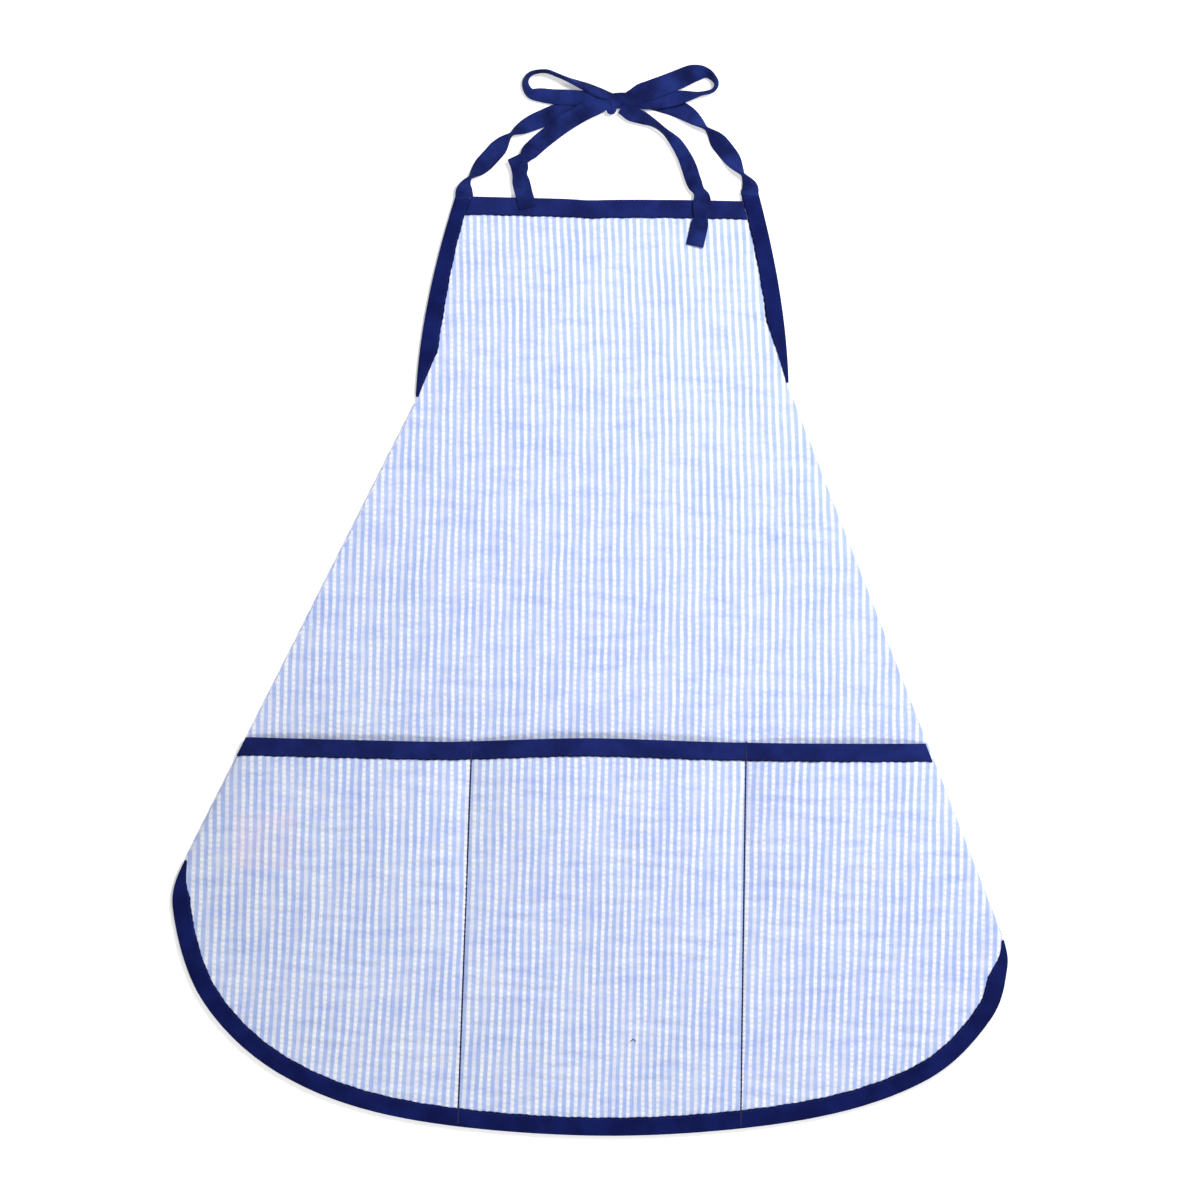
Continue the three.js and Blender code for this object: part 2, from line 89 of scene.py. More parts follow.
# %% Sizes of the sewn apron, in metres
HINGE = np.array(JOINTS["neck_loop_lift"]["pos_m"])
ORIGIN = np.array([HINGE[0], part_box("hem_tape")[0].y])
HINGE_DROP = 0.00025  # the neck's hinge lies this far under the top of the bib
LENGTH = HINGE[1] + HINGE_DROP - ORIGIN[1]
TAPE = 0.0145
TAPE_THICK = 0.0004
EASE = 0.0003  # room left between two layers
INSET = TAPE_THICK + EASE
BIB_HALF = 0.11925
BIB_SLOPE = 0.0023  # the bib's left corner is lower by this
ARMHOLE_DROP = {"left": 0.163, "right": 0.152}  # from the bib's top down to each fold
FOOT_RISE = {"left": 0.219, "right": 0.156}  # from the hem up to the foot of each fold
SKIRT = {"left": 0.3415, "right": 0.3148}  # from the centre line to the widest place
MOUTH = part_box("pocket_panel")[1].y - ORIGIN[1]
GAPE = 0.006  # how far the pocket stands open
SEAMS = {"left": (-0.1062, -0.1176), "right": (0.1094, 0.105)}  # x at the mouth and at the hem
WAIST = (0.256, 0.257)  # a folded waist corner: out from the centre line, and down from the top
INWARD = {"left": 1, "right": -1}  # the way in from each side
FRONT_LEVEL = 0.0026
FLAP_LEVEL = 0.001
POCKET_LEVEL = 0.0035
EDGE_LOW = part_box("top_edge_tape")[0].z
EDGE_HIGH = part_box("top_edge_tape")[1].z
HEM_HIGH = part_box("hem_tape")[1].z


def smoothstep(low, high, x):
    """0 below low and 1 above high, with 3t^2 - 2t^3 between them."""
    t = np.clip((x - low) / (high - low), 0, 1)
    return t * t * (3 - 2 * t)


def unit(vectors):
    """Vectors divided by their own lengths."""
    return vectors / np.linalg.norm(vectors, axis=-1, keepdims=True)


def along_line(line):
    """The distance of each point of a line from its first point, along the line."""
    return np.concatenate([[0], np.cumsum(np.linalg.norm(np.diff(line, axis=0), axis=1))])


def fold_point(side, y):
    """The point of a fold line at height y: the joint's place, moved along its axis."""
    joint = JOINTS[f"{side}_flap_unfold"]
    place = np.array(joint["pos_m"][:2]) - ORIGIN
    axis = np.array(joint["axis"][:2])
    y = np.asarray(y, float)
    return place + ((y - place[1]) / axis[1])[..., None] * axis


FOLD_TOP = {side: fold_point(side, LENGTH - ARMHOLE_DROP[side]) for side in ARMHOLE_DROP}
FOLD_FOOT = {side: fold_point(side, FOOT_RISE[side]) for side in FOOT_RISE}
print("apron length, m:", round(LENGTH, 4), "bib:", round(2 * BIB_HALF, 4))

# %% [markdown]
# Smooth lines
# A seam, a hem and a tie all follow a line. Each is a curve through a few points, walked at an even
# step, so that stitches and ribs come out evenly spaced on it.


# %% Lines and their directions
def curve_through(points, per_span=24):
    """Catmull-Rom: between p1 and p2 a cubic that leaves along (p2 - p0)/2 and arrives along (p3 - p1)/2."""
    p = np.asarray(points, float)
    p = np.concatenate([p[:1], p, p[-1:]])
    t = np.linspace(0, 1, per_span, endpoint=False)[:, None]
    p0, p1, p2, p3 = (p[i:len(p) - 3 + i, None] for i in range(4))
    leave, arrive = (p2 - p0) / 2, (p3 - p1) / 2
    cubic = (2 * (p1 - p2) + leave + arrive) * t ** 3 + (3 * (p2 - p1) - 2 * leave - arrive) * t ** 2
    line = (cubic + leave * t + p1).reshape(-1, p.shape[1])
    return np.concatenate([line, p[-1:]])


def even_steps(line, step, space=2):
    """The same line at equal distances, measured over its first `space` coordinates."""
    distance = along_line(line[:, :space])
    stations = np.linspace(0, distance[-1], max(int(round(distance[-1] / step)), 2) + 1)
    return np.stack([np.interp(stations, distance, column) for column in line.T], axis=1)


def length_of(line):
    """The lengths of a line's short steps, added up."""
    return float(np.linalg.norm(np.diff(line, axis=0), axis=1).sum())


def left_hand(line):
    """Unit vectors at the left of a flat line: its direction, turned a quarter turn."""
    way = unit(np.gradient(line[:, :2], axis=0))
    return np.stack([-way[:, 1], way[:, 0]], axis=1)


def bend_line(a, b, c, count=90):
    """Quadratic curve from a to c, pulled towards b: (1-t)^2 a + 2t(1-t) b + t^2 c."""
    t = np.linspace(0, 1, count)[:, None]
    return (1 - t) ** 2 * np.asarray(a) + 2 * t * (1 - t) * np.asarray(b) + t ** 2 * np.asarray(c)


# %% [markdown]
# Meshes
# Every cloth, tape and tie is a grid of points. Where a grid is pinched to a point or trimmed, welding
# leaves a clean mesh without slivers. One function then makes the object, finishes it, fastens it to a
# body and hides the plain piece it stands for.


# %% Meshes
def lattice(rows, columns, around=False):
    """Quads of a grid of points, seen anticlockwise where rows run down and columns run right."""
    r, c = np.meshgrid(np.arange(rows - 1), np.arange(columns - (not around)), indexing="ij")
    a, b = r * columns + c, r * columns + (c + 1) % columns
    return np.stack([a, a + columns, b + columns, b], axis=-1).reshape(-1, 4)


def facing_out(points, faces):
    """Turns every face of a closed shape round if its volume, summed over the faces, is negative."""
    a, b, c, d = (points[faces[:, i]] for i in (0, 1, 2, -1))
    volume = np.einsum("ij,ij->", a, np.cross(b, c)) + np.einsum("ij,ij->", a, np.cross(c, d))
    return faces if volume > 0 else faces[:, ::-1]


def areas(points, triangles):
    """The area of each triangle: half the length of the cross product of two sides."""
    a, b, c = (points[triangles[:, i]] for i in range(3))
    return np.linalg.norm(np.cross(b - a, c - a), axis=1) / 2


SLIVER = 5e-13


def welded(points, uv, faces):
    """Merges points in one place and drops the triangles that this leaves without an area."""
    kept, first, new = np.unique(np.round(points, 7), axis=0, return_index=True, return_inverse=True)
    triangles = new.reshape(-1)[np.concatenate([faces[:, [0, 1, 2]], faces[:, [0, 2, 3]]])]
    a, b, c = triangles.T
    return kept, uv[first], triangles[(a != b) & (b != c) & (c != a) & (areas(kept, triangles) > SLIVER)]


def piece(name, points, faces, uv, finish, slot, body=None, stands_for=()):
    """A mesh object with a UV map and a finish, riding on a body and replacing plain CAD nodes; the slot is
    not used.
    """
    mesh = bpy.data.meshes.new(name)
    mesh.from_pydata(points.tolist(), [], faces.tolist())
    corner = np.empty(len(mesh.loops), int)
    mesh.loops.foreach_get("vertex_index", corner)
    mesh.uv_layers.new(name="UVMap").data.foreach_set("uv", uv[corner].astype(np.float32).ravel())
    mesh.polygons.foreach_set("use_smooth", np.ones(len(mesh.polygons), bool))
    mesh.materials.append(finish)
    mesh.update()
    made = bpy.data.objects.new(name, mesh)
    bpy.context.collection.objects.link(made)
    if body:
        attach(made, body)
    if stands_for:
        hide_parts(*stands_for)
    print(f"{name}: {len(points)} points, {len(faces)} faces")
    return made


def placed(flat, z):
    """Points of the apron's own plane with heights, moved into the frame."""
    return np.concatenate([flat + ORIGIN, np.broadcast_to(z, flat.shape[:-1])[..., None]], axis=-1)


# %% [markdown]
# Finishes
# Nodes are wired by a small helper, so that each finish reads as a recipe. Paint and bump follow a
# piece's own UV map, so they bend with it; clouds of shade follow its place on the object.


# %% A helper for nodes
class Recipe:
    """Builds one material. Each call adds a node, and returns the output that the next one takes."""

    def __init__(self, name):
        self.material = bpy.data.materials.new(name)
        self.material.use_nodes = True
        self.nodes = self.material.node_tree.nodes
        self.links = self.material.node_tree.links
        self.shader = self.nodes["Principled BSDF"]

    def node(self, kind, inputs=(), output=0, **settings):
        made = self.nodes.new(kind)
        for key, value in settings.items():
            setattr(made, key, value)
        for socket, value in dict(inputs).items():
            self.feed(made.inputs[socket], value)
        return made.outputs[output]

    def feed(self, socket, value):
        if isinstance(value, bpy.types.NodeSocket):
            self.links.new(value, socket)
        else:
            socket.default_value = value

    def on_cloth(self):
        return self.node("ShaderNodeUVMap", uv_map="UVMap")

    def on_object(self):
        return self.node("ShaderNodeTexCoord", output=3)

    def stretched(self, where, scale):
        return self.node("ShaderNodeMapping", {"Vector": where, "Scale": scale})

    def parts(self, vector):
        made = self.nodes.new("ShaderNodeSeparateXYZ")
        self.links.new(vector, made.inputs[0])
        return made.outputs

    def math(self, operation, a, b=0.0, c=0.0):
        return self.node("ShaderNodeMath", {0: a, 1: b, 2: c}, operation=operation)

    def times(self, a, b):
        return self.math("MULTIPLY", a, b)

    def wave(self, value, turns):
        return self.math("SINE", self.times(value, math.tau * turns))

    def ramp(self, value, low, high, start=0.0, end=1.0):
        inputs = {"Value": value, "From Min": low, "From Max": high, "To Min": start, "To Max": end}
        return self.node("ShaderNodeMapRange", inputs, interpolation_type="SMOOTHSTEP")

    def mix(self, share, a, b, blend="MIX"):
        made = self.nodes.new("ShaderNodeMix")
        made.data_type = "RGBA"
        made.blend_type = blend
        self.feed(made.inputs[0], share)
        self.feed(made.inputs[6], a)
        self.feed(made.inputs[7], b)
        return made.outputs[2]

    def noise(self, where, scale, detail=2.0):
        return self.node("ShaderNodeTexNoise", {"Vector": where, "Scale": scale, "Detail": detail})

    def finish(self, colour, roughness, bump=None, depth=0.0001, **constants):
        self.feed(self.shader.inputs["Base Color"], colour)
        self.feed(self.shader.inputs["Roughness"], roughness)
        if bump is not None:
            normal = self.node("ShaderNodeBump", {"Height": bump, "Strength": 1.0, "Distance": depth})
            self.links.new(normal, self.shader.inputs["Normal"])
        for name, value in constants.items():
            self.shader.inputs[name.replace("_", " ")].default_value = value
        return self.material


def colour(red, green, blue):
    """A display colour of 0 to 255 as the linear light that a shader wants."""
    share = np.array([red, green, blue]) / 255
    linear = np.where(share <= 0.04045, share / 12.92, ((share + 0.055) / 1.055) ** 2.4)
    return (*(float(x) for x in linear), 1.0)


# %% [markdown]
# Grosgrain and thread
# Grosgrain is woven with thick weft ribs that cross the tape: a sine along its length gives their bump,
# and a little sheen gives its dull gloss. Its UV map is in millimetres, so RIB is the ribs' true pitch.

# %% Grosgrain and thread
RIB = 0.65


def grosgrain_finish(name, light, dark):
    """Ribs along the tape, wandering a little, on a navy that goes unevenly from dark to light in patches.
    """
    recipe = Recipe(name)
    where = recipe.on_cloth()
    wander = recipe.noise(where, 0.9, 1.0)
    along = recipe.math("MULTIPLY_ADD", wander, 0.35, recipe.parts(where)[0])
    rib = recipe.wave(along, 1 / RIB)
    yarn = recipe.noise(where, 3.1, 3.0)
    height = recipe.math("MULTIPLY_ADD", yarn, 0.5, rib)
    # Patches from dark to light: an uneven tone, and on the ties painted light and shade of their folds.
    uneven_tone_and_fold_shade = recipe.noise(recipe.on_object(), 55.0, 3.0)
    # The ribs tint it as well: their crests are painted lighter and their troughs darker, as painted shade.
    share = recipe.ramp(recipe.math("MULTIPLY_ADD", rib, 0.12, uneven_tone_and_fold_shade), 0.3, 0.72)
    tint = recipe.mix(share, dark, light)
    rough = recipe.ramp(yarn, 0.2, 0.8, 0.62, 0.8)
    return recipe.finish(tint, rough, height, 0.00008, Specular_IOR_Level=0.09, Sheen_Weight=0.02,
                         Sheen_Roughness=0.4)


GROSGRAIN = grosgrain_finish("navy_grosgrain", colour(28, 41, 112), colour(17, 27, 84))
EDGE_GROSGRAIN = grosgrain_finish("dark_navy_grosgrain", colour(16, 30, 98), colour(8, 17, 74))
# The ties' copy reaches a lighter navy and a darker one, for painted light and shade of their folds.
TIE_GROSGRAIN = grosgrain_finish("tie_grosgrain", colour(31, 48, 120), colour(9, 17, 66))


def thread_finish():
    """Sewing thread: two plies that wind round each other, as slanted stripes of painted shade on the
    stitch.
    """
    recipe = Recipe("navy_thread")
    where = recipe.on_cloth()
    along, around = recipe.parts(where)[:2]
    ply = recipe.wave(recipe.math("MULTIPLY_ADD", around, 2.0, along), 3)
    fuzz = recipe.noise(where, 9.0, 2.0)
    # Painted shade: darker in the grooves between the plies and lighter on their crests.
    tint = recipe.mix(recipe.ramp(ply, -1, 1), colour(12, 18, 66), colour(24, 34, 98))
    return recipe.finish(tint, recipe.ramp(fuzz, 0.2, 0.8, 0.5, 0.7), ply, 0.00004,
                         Specular_IOR_Level=0.3, Sheen_Weight=0.1)


THREAD = thread_finish()

# %% [markdown]
# The neck ties, the bow and the waist ties
# Each is a length of the same tape, about 14 mm wide, folded and sewn shut, so it is limp but springy: it
# lies flat in places, stands on its edge in others and turns over between them. A ribbon whose
# width turns about its own line shows all three, so every route gives a tilt beside each place. A tilt
# of 0 lies flat, 90 stands on edge and 180 lies flat again, turned over. These cords come before the
# cloth because their lengths are settled first.


# %% A ribbon that can turn over
RING = 20  # points round a tape
RIBBON_STEP = 0.0012
NARROWING = 0.012  # the length in which an end narrows
STAND = 0.42  # a standing tape crumples to this share of its width
FLOOR_GAP = 0.0001


def signed_power(value, power):
    """A power of a number's size that keeps its sign: below 1 it fills out a round shape's corners."""
    return np.sign(value) * np.abs(value) ** power


def strip(route, wide=0.014, thick=0.0009, ends=(0.0, 0.0)):
    """A tape carried along a route of x, y, z, tilt, as points, uv, faces and the line it follows.

    Round each point of the line goes a flattened ring, half the tape wide and half its thickness high:
    X = w cos f, Y = t sin f, its corners filled out. The ring turns by the tilt:
    across = X cos a - Y sin a, up = X sin a + Y cos a. A standing tape crumples, so its up is scaled by
    STAND and its thickness grows with sin^2 a, and the line rises so that the lower edge stays put.
    `ends` says what share of its width the tape loses towards each end."""
    line = even_steps(curve_through(route), RIBBON_STEP)
    middle, tilt = line[:, :3], np.radians(line[:, 3])
    distance = np.linspace(0, length_of(middle), len(line))
    across = np.concatenate([left_hand(middle), np.zeros((len(line), 1))], axis=1)
    around = np.linspace(0, math.tau, RING, endpoint=False)
    c, s = np.cos(around), np.sin(around)
    turned = np.sin(tilt)[:, None] ** 2
    lost = [1 - smoothstep(0, NARROWING, run) for run in (distance, distance[-1] - distance)]
    half = (wide / 2 * (1 - ends[0] * lost[0] - ends[1] * lost[1]))[:, None]
    ripple = 0.00022 * np.sin(distance * 310 + 1.0)[:, None] * np.cos(around * 2)
    x = half * signed_power(c, 0.55)
    y = (thick / 2 + 0.0012 * turned) * signed_power(s, 0.7) + ripple * (1 - turned)
    a = tilt[:, None]
    sideways = x * np.cos(a) - y * np.sin(a)
    rise = half * np.abs(np.sin(a)) * STAND
    up = x * np.sin(a) * STAND + y * np.cos(a) + rise
    points = middle[:, None] + across[:, None] * sideways[..., None] + np.array([0, 0, 1]) * up[..., None]
    points[..., 2] = np.maximum(points[..., 2], FLOOR_GAP)
    closing = points[[0, -1]].mean(axis=1)
    ring = np.arange(1, RING + 1)[None] * 1.4
    uv = np.stack(np.broadcast_arrays(distance[:, None] * 1000, ring), axis=-1)
    i = np.arange(RING)
    following = (i + 1) % RING
    tip = np.full(RING, len(line) * RING)
    last = (len(line) - 1) * RING
    faces = np.concatenate([
        lattice(len(line), RING, around=True), np.stack([i, following, tip, tip], axis=1),
        np.stack([last + following, last + i, tip + 1, tip + 1], axis=1)])
    points = np.concatenate([points.reshape(-1, 3), closing])
    uv = np.concatenate([uv.reshape(-1, 2), uv[[0, -1], 0]])
    kept, kept_uv, kept_faces = welded(points, uv, faces)
    followed = np.stack([middle[:, 0], middle[:, 1], middle[:, 2] + rise[:, 0]], axis=1)
    return kept, kept_uv, facing_out(kept, kept_faces), followed


def joined(*solids):
    """Several closed shapes as the points, faces and uv of one mesh. Each shape is points, uv, faces."""
    starts = np.cumsum([0] + [len(solid[0]) for solid in solids[:-1]])
    return (np.concatenate([solid[0] for solid in solids]),
            np.concatenate([solid[2] + start for solid, start in zip(solids, starts)]),
            np.concatenate([solid[1] for solid in solids]))


def ribbon(name, strips, body, stands_for):
    """A tape of one strip, or of several where it is folded over. Returns the piece and its line."""
    made = piece(name, *joined(*strips), TIE_GROSGRAIN, "grosgrain", body, stands_for)
    return made, np.concatenate([strip[3] for strip in strips])


def over_bib(route):
    """A route of x, y above the top of the bib, z and tilt, moved into the frame."""
    shift = np.array([ORIGIN[0], ORIGIN[1] + LENGTH, 0, 0])
    return np.array(route, float) + shift


# %% [markdown]
# The routes of the bow
# Each row is x from the centre line, y above the top of the bib, height and tilt. The left tail is
# folded back on itself, so it has two routes, one lying over the other.

# %% Neck ties, loops and tails
LEFT_NECK = [
    (-0.1118, -0.0042, 0.0034, 0), (-0.11225, -0.0014, 0.0034, 0), (-0.1118, 0.003, 0.003, 25),
    (-0.1089, 0.0105, 0.0018, 80), (-0.0976, 0.0225, 0.0009, 165), (-0.0866, 0.0345, 0.0008, 190),
    (-0.0763, 0.0455, 0.0008, 265), (-0.0645, 0.0526, 0.00075, 325), (-0.0456, 0.0613, 0.0007, 358),
    (-0.0212, 0.07, 0.0007, 375), (-0.0026, 0.0724, 0.0007, 400), (0.004, 0.073, 0.001, 400),
]
RIGHT_NECK = [
    (0.112, -0.0022, 0.0034, 0), (0.11225, 0.0009, 0.0034, 0), (0.112, 0.005, 0.003, -25),
    (0.1082, 0.0125, 0.0018, -78), (0.0976, 0.0282, 0.0009, -168), (0.0889, 0.0393, 0.0008, -190),
    (0.0795, 0.0495, 0.0008, -262), (0.0653, 0.0613, 0.00075, -335), (0.0512, 0.0684, 0.0007, -362),
    (0.0299, 0.0735, 0.0007, -385), (0.0165, 0.0735, 0.001, -400),
]
LEFT_LOOP = [
    (0.005, 0.0752, 0.0021, 55), (-0.0034, 0.078, 0.0021, 58), (-0.0162, 0.0833, 0.0021, 64),
    (-0.03, 0.0889, 0.0021, 82), (-0.0393, 0.0928, 0.0021, 88), (-0.0486, 0.0958, 0.0021, 88),
    (-0.0598, 0.0939, 0.0021, 82), (-0.0642, 0.0868, 0.0021, 76), (-0.0605, 0.0787, 0.0021, 64),
    (-0.0509, 0.0769, 0.0021, 44), (-0.0393, 0.0757, 0.0021, 38), (-0.0254, 0.0752, 0.0021, 36),
    (-0.0115, 0.0741, 0.0021, 40), (0.004, 0.073, 0.0021, 45),
]
RIGHT_LOOP = [
    (0.0165, 0.0752, 0.003, 30), (0.0301, 0.0798, 0.0036, 6), (0.0417, 0.084, 0.0036, 0),
    (0.0544, 0.0888, 0.0034, 4), (0.0683, 0.0942, 0.0028, 30), (0.0787, 0.0942, 0.0021, 66),
    (0.0858, 0.0872, 0.0018, 84), (0.0834, 0.0808, 0.0015, 88), (0.073, 0.078, 0.0013, 82),
    (0.0602, 0.0759, 0.0012, 50), (0.0463, 0.0741, 0.0012, 28), (0.0301, 0.0729, 0.0012, 24),
    (0.0165, 0.0735, 0.0015, 35),
]
LEFT_TAIL = [
    (0.0045, 0.0725, 0.0044, 30), (-0.0034, 0.0703, 0.0046, 16), (-0.0138, 0.066, 0.0043, 6),
    (-0.0254, 0.0599, 0.004, 2), (-0.0393, 0.0507, 0.0038, 0), (-0.0509, 0.0415, 0.0037, 4),
    (-0.0577, 0.0355, 0.0037, 10), (-0.0626, 0.0305, 0.0037, 10), (-0.067, 0.0243, 0.0036, 0),
]
LEFT_TAIL_FOLDED = [
    (-0.072, 0.0292, 0.0052, -4), (-0.0703, 0.0255, 0.0053, 0), (-0.0688, 0.0213, 0.0052, 4),
    (-0.0686, 0.0143, 0.0045, 34), (-0.0672, 0.0075, 0.0044, 4), (-0.0655, 0.0005, 0.0045, -8),
    (-0.0636, -0.0065, 0.0044, 0), (-0.0622, -0.0115, 0.0043, 0),
]
RIGHT_TAIL = [
    (0.0105, 0.0664, 0.0037, 35), (0.0174, 0.0629, 0.0037, 30), (0.0278, 0.0592, 0.0037, 46),
    (0.0372, 0.0545, 0.0037, 72), (0.0458, 0.0478, 0.0037, 76), (0.0538, 0.0397, 0.0037, 54),
    (0.0603, 0.0297, 0.0038, 42), (0.0646, 0.0196, 0.004, 30), (0.0688, 0.0075, 0.0042, 32),
    (0.0722, 0.0012, 0.0043, 52), (0.0745, -0.0045, 0.0048, 10), (0.0742, -0.012, 0.005, -4),
    (0.0737, -0.0192, 0.0047, 38), (0.0723, -0.0265, 0.0044, 4), (0.0689, -0.0415, 0.0043, 0),
]

# %% [markdown]
# Ties, loops and tails
# The ties and loops ride on the neck loop. The two tails are fastened to no body.

# %% The bow's tapes
cords = {}
for name, routes, body, wide, ends in (
    ("left_neck_tie", [LEFT_NECK], "neck_loop", 0.014, (0, 0.3)),
    ("right_neck_tie", [RIGHT_NECK], "neck_loop", 0.014, (0, 0.3)),
    ("left_bow_loop", [LEFT_LOOP], "neck_loop", 0.0145, (0.3, 0.3)),
    ("right_bow_loop", [RIGHT_LOOP], "neck_loop", 0.0155, (0.3, 0.3)),
    ("left_tie_tail", [LEFT_TAIL, LEFT_TAIL_FOLDED], None, 0.014, (0.3, 0.45)),
    ("right_tie_tail", [RIGHT_TAIL], None, 0.014, (0.35, 0)),
):
    first, *folded = (over_bib(route) for route in routes)
    strips = [strip(first, wide, ends=ends), *(strip(route, wide) for route in folded)]
    cords[name] = ribbon(name + "_tape", strips, body, [name])

for name in ("left_tie_tail", "right_tie_tail"):
    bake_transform(cords[name][0])

# %% [markdown]
# The waist ties
# Each waist tie carries on from the binding at its waist corner. It runs up behind the front along the
# fold, turns back on itself in a half circle, and ends behind the bib. Its route is worked out in the
# fold's own directions: u runs down the fold and v in under the apron.


# %% Fold directions and waist ties
def fold_frame(side):
    """A fold's length, and the unit vectors down it and square to it, in under the apron."""
    down = unit(FOLD_FOOT[side] - FOLD_TOP[side])
    under = np.array([-down[1], down[0]]) * INWARD[side]
    return float(np.linalg.norm(FOLD_FOOT[side] - FOLD_TOP[side])), down, under


def on_fold(side, u, v):
    """The x, y of a place: the fold's top, plus u times down, plus v times under."""
    _, down, under = fold_frame(side)
    return FOLD_TOP[side] + np.multiply.outer(u, down) + np.multiply.outer(v, under)


def flap_edges(side):
    """The flap's two edges in u and v: the armhole's, and the side's, which meet at the waist corner."""
    length, down, under = fold_frame(side)
    waist = np.array([-INWARD[side] * WAIST[0], LENGTH - WAIST[1]]) - FOLD_TOP[side]
    corner = np.array([waist @ down, -(waist @ under)])
    arm = bend_line((0, 0), (0.76 * corner[0], 0), corner)
    edge = bend_line(corner, ((corner[0] + length) * 0.55, corner[1] * 0.48), (length, 0))
    return arm, edge


def waist_mitre(arm, edge):
    """The way out of the waist corner along the armhole, and the slant on which its two tapes meet.

    The slant runs along the side's edge, and is so long that its width square to the armhole is 1."""
    leave, side_way = unit(arm[-1] - arm[-2]), unit(edge[1] - edge[0])
    return leave, side_way / abs(leave[0] * side_way[1] - leave[1] * side_way[0])


TIE_LEVEL = 0.0007
TIE_RUN = 0.092  # v of the tie's first leg
TIE_TURN = 0.036  # radius of its half circle
TIE_TURN_AT, TIE_END = 0.33, 0.048  # u where it turns, and u where it ends


def waist_tie(side):
    """Starts inside the armhole's tape, runs down the fold, turns in a half circle and comes back."""
    arm, edge = flap_edges(side)
    leave, mitre = waist_mitre(arm, edge)
    start = arm[-1] + leave * EASE * 2 + mitre * TAPE / 2
    back = TIE_RUN + 2 * TIE_TURN
    turn = np.linspace(0, math.pi, 7)
    half_circle = [TIE_TURN_AT + TIE_TURN * np.sin(turn), TIE_RUN + TIE_TURN * (1 - np.cos(turn))]
    local = np.concatenate([
        [start - leave * 0.005, start, start + leave * 0.008, start + leave * (0.026, 0.022),
         (start[0] + 0.038, TIE_RUN - 0.005), ((start[0] + TIE_TURN_AT) * 0.55, TIE_RUN)],
        np.stack(half_circle, axis=1),
        [((TIE_TURN_AT + TIE_END) * 0.62, back), ((TIE_TURN_AT + TIE_END) * 0.36, back - 0.003),
         (TIE_END, back - 0.005)],
    ])
    level = np.where(np.arange(len(local)) < 3, FLAP_LEVEL, TIE_LEVEL)
    flat = on_fold(side, local[:, 0], local[:, 1]) + ORIGIN
    route = np.column_stack([flat, level, np.zeros(len(local))])
    name = f"{side}_waist_tie"
    cords[name] = ribbon(name + "_tape", [strip(route, thick=0.0008)], f"{side}_flap", [name])


waist_tie("left")
waist_tie("right")

# %% [markdown]
# The knot
# The bow's knot is the tape wound once round itself and pulled tight: a soft flattened lump with a short
# band over its left half. Both are rounded boxes of crumpled tape, so one function makes them.

# %% Knot
LUMP_ROWS, LUMP_COLUMNS = 21, 48


def crumple(centre, size, creases, turn):
    """A flattened ball whose radius is a power of sine and cosine, creased by slanting waves.

    x = a C(p) C(q), y = b C(p) S(q), z = c S(p), with C and S the signed powers of cosine and sine."""
    p = np.linspace(-math.pi / 2, math.pi / 2, LUMP_ROWS)
    q = np.linspace(0, math.tau, LUMP_COLUMNS, endpoint=False)
    p, q = np.meshgrid(p, q, indexing="ij")
    x = signed_power(np.cos(p), 0.7) * signed_power(np.cos(q), 0.55)
    y = signed_power(np.cos(p), 0.7) * signed_power(np.sin(q), 0.55)
    z = signed_power(np.sin(p), 0.9)
    z = z * (1 + creases * np.sin(5.5 * x + 3.5 * y + 0.6) + creases * 0.6 * np.sin(9 * x - 7 * y))
    x, y = x * size[0] / 2, y * size[1] / 2 * (1 - 0.18 * x ** 2)
    points = np.stack([
        centre[0] + x * math.cos(turn) - y * math.sin(turn),
        centre[1] + x * math.sin(turn) + y * math.cos(turn),
        centre[2] + z * size[2] / 2], axis=-1).reshape(-1, 3)
    uv = np.stack([x * 1000, y * 1000], axis=-1).reshape(-1, 2)
    kept, kept_uv, faces = welded(points, uv, lattice(LUMP_ROWS, LUMP_COLUMNS, around=True))
    return kept, kept_uv, facing_out(kept, faces)


knot_low, knot_high = (np.array(corner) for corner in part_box("bow_knot"))
knot_centre = (knot_low + knot_high) / 2
lump = crumple(knot_centre + [0.0006, 0.0022, 0.0014], (0.0225, 0.0128, 0.0062), 0.13, 0.03)
band = crumple(knot_centre + [-0.0062, -0.0030, 0.0024], (0.0078, 0.0122, 0.0052), 0.12, -0.25)
knot = piece("knot_tape", *joined(lump, band), TIE_GROSGRAIN, "grosgrain", "neck_loop", ["bow_knot"])

# %% [markdown]
# The neck ties and loops end in the knot; the tails and waist ties end bare.

# %% Cords and their lengths
for name, far_end, with_pieces in (
    ("left_neck_tie", "knot", [knot]), ("right_neck_tie", "knot", []), ("left_bow_loop", "knot", []),
    ("right_bow_loop", "knot", []), ("left_tie_tail", "bare", []), ("right_tie_tail", "bare", []),
    ("left_waist_tie", "bare", []), ("right_waist_tie", "bare", []),
):
    made, line = cords[name]
    print(f"{name}: {length_of(line):.3f} m")

# %% [markdown]
# The outline
# The front ends at the armhole edges, then at the two folds, then at the rounded hem. Read from the top
# down, each side is one line that gives x for every y, so a cloth can be trimmed to it row by row.

# %% Outline of the laid apron
HEM_SHAPE = [
    (-1, 0.82), (-0.932, 0.487), (-0.751, 0.22), (-0.461, 0.061), (0, 0),
    (0.483, 0.078), (0.794, 0.276), (0.957, 0.583), (1, 0.846),
]
CORNER = {"left": np.array([-BIB_HALF, LENGTH - BIB_SLOPE]), "right": np.array([BIB_HALF, LENGTH])}
LEAN = {"left": 0.003, "right": -0.0015}


def hem_point(x, y):
    """A point of the hem's shape, from shares of the skirt's half width and of the fold's rise."""
    side = "left" if x < 0 else "right"
    return (x * SKIRT[side], y * FOOT_RISE[side])


def armhole(side):
    """From the bib's corner down to the fold: a curve pulled to a point just beside the fold's top."""
    foot = FOLD_TOP[side]
    bend = (foot[0] + LEAN[side], foot[1] + (CORNER[side][1] - foot[1]) * 0.45)
    return bend_line(CORNER[side], bend, foot)


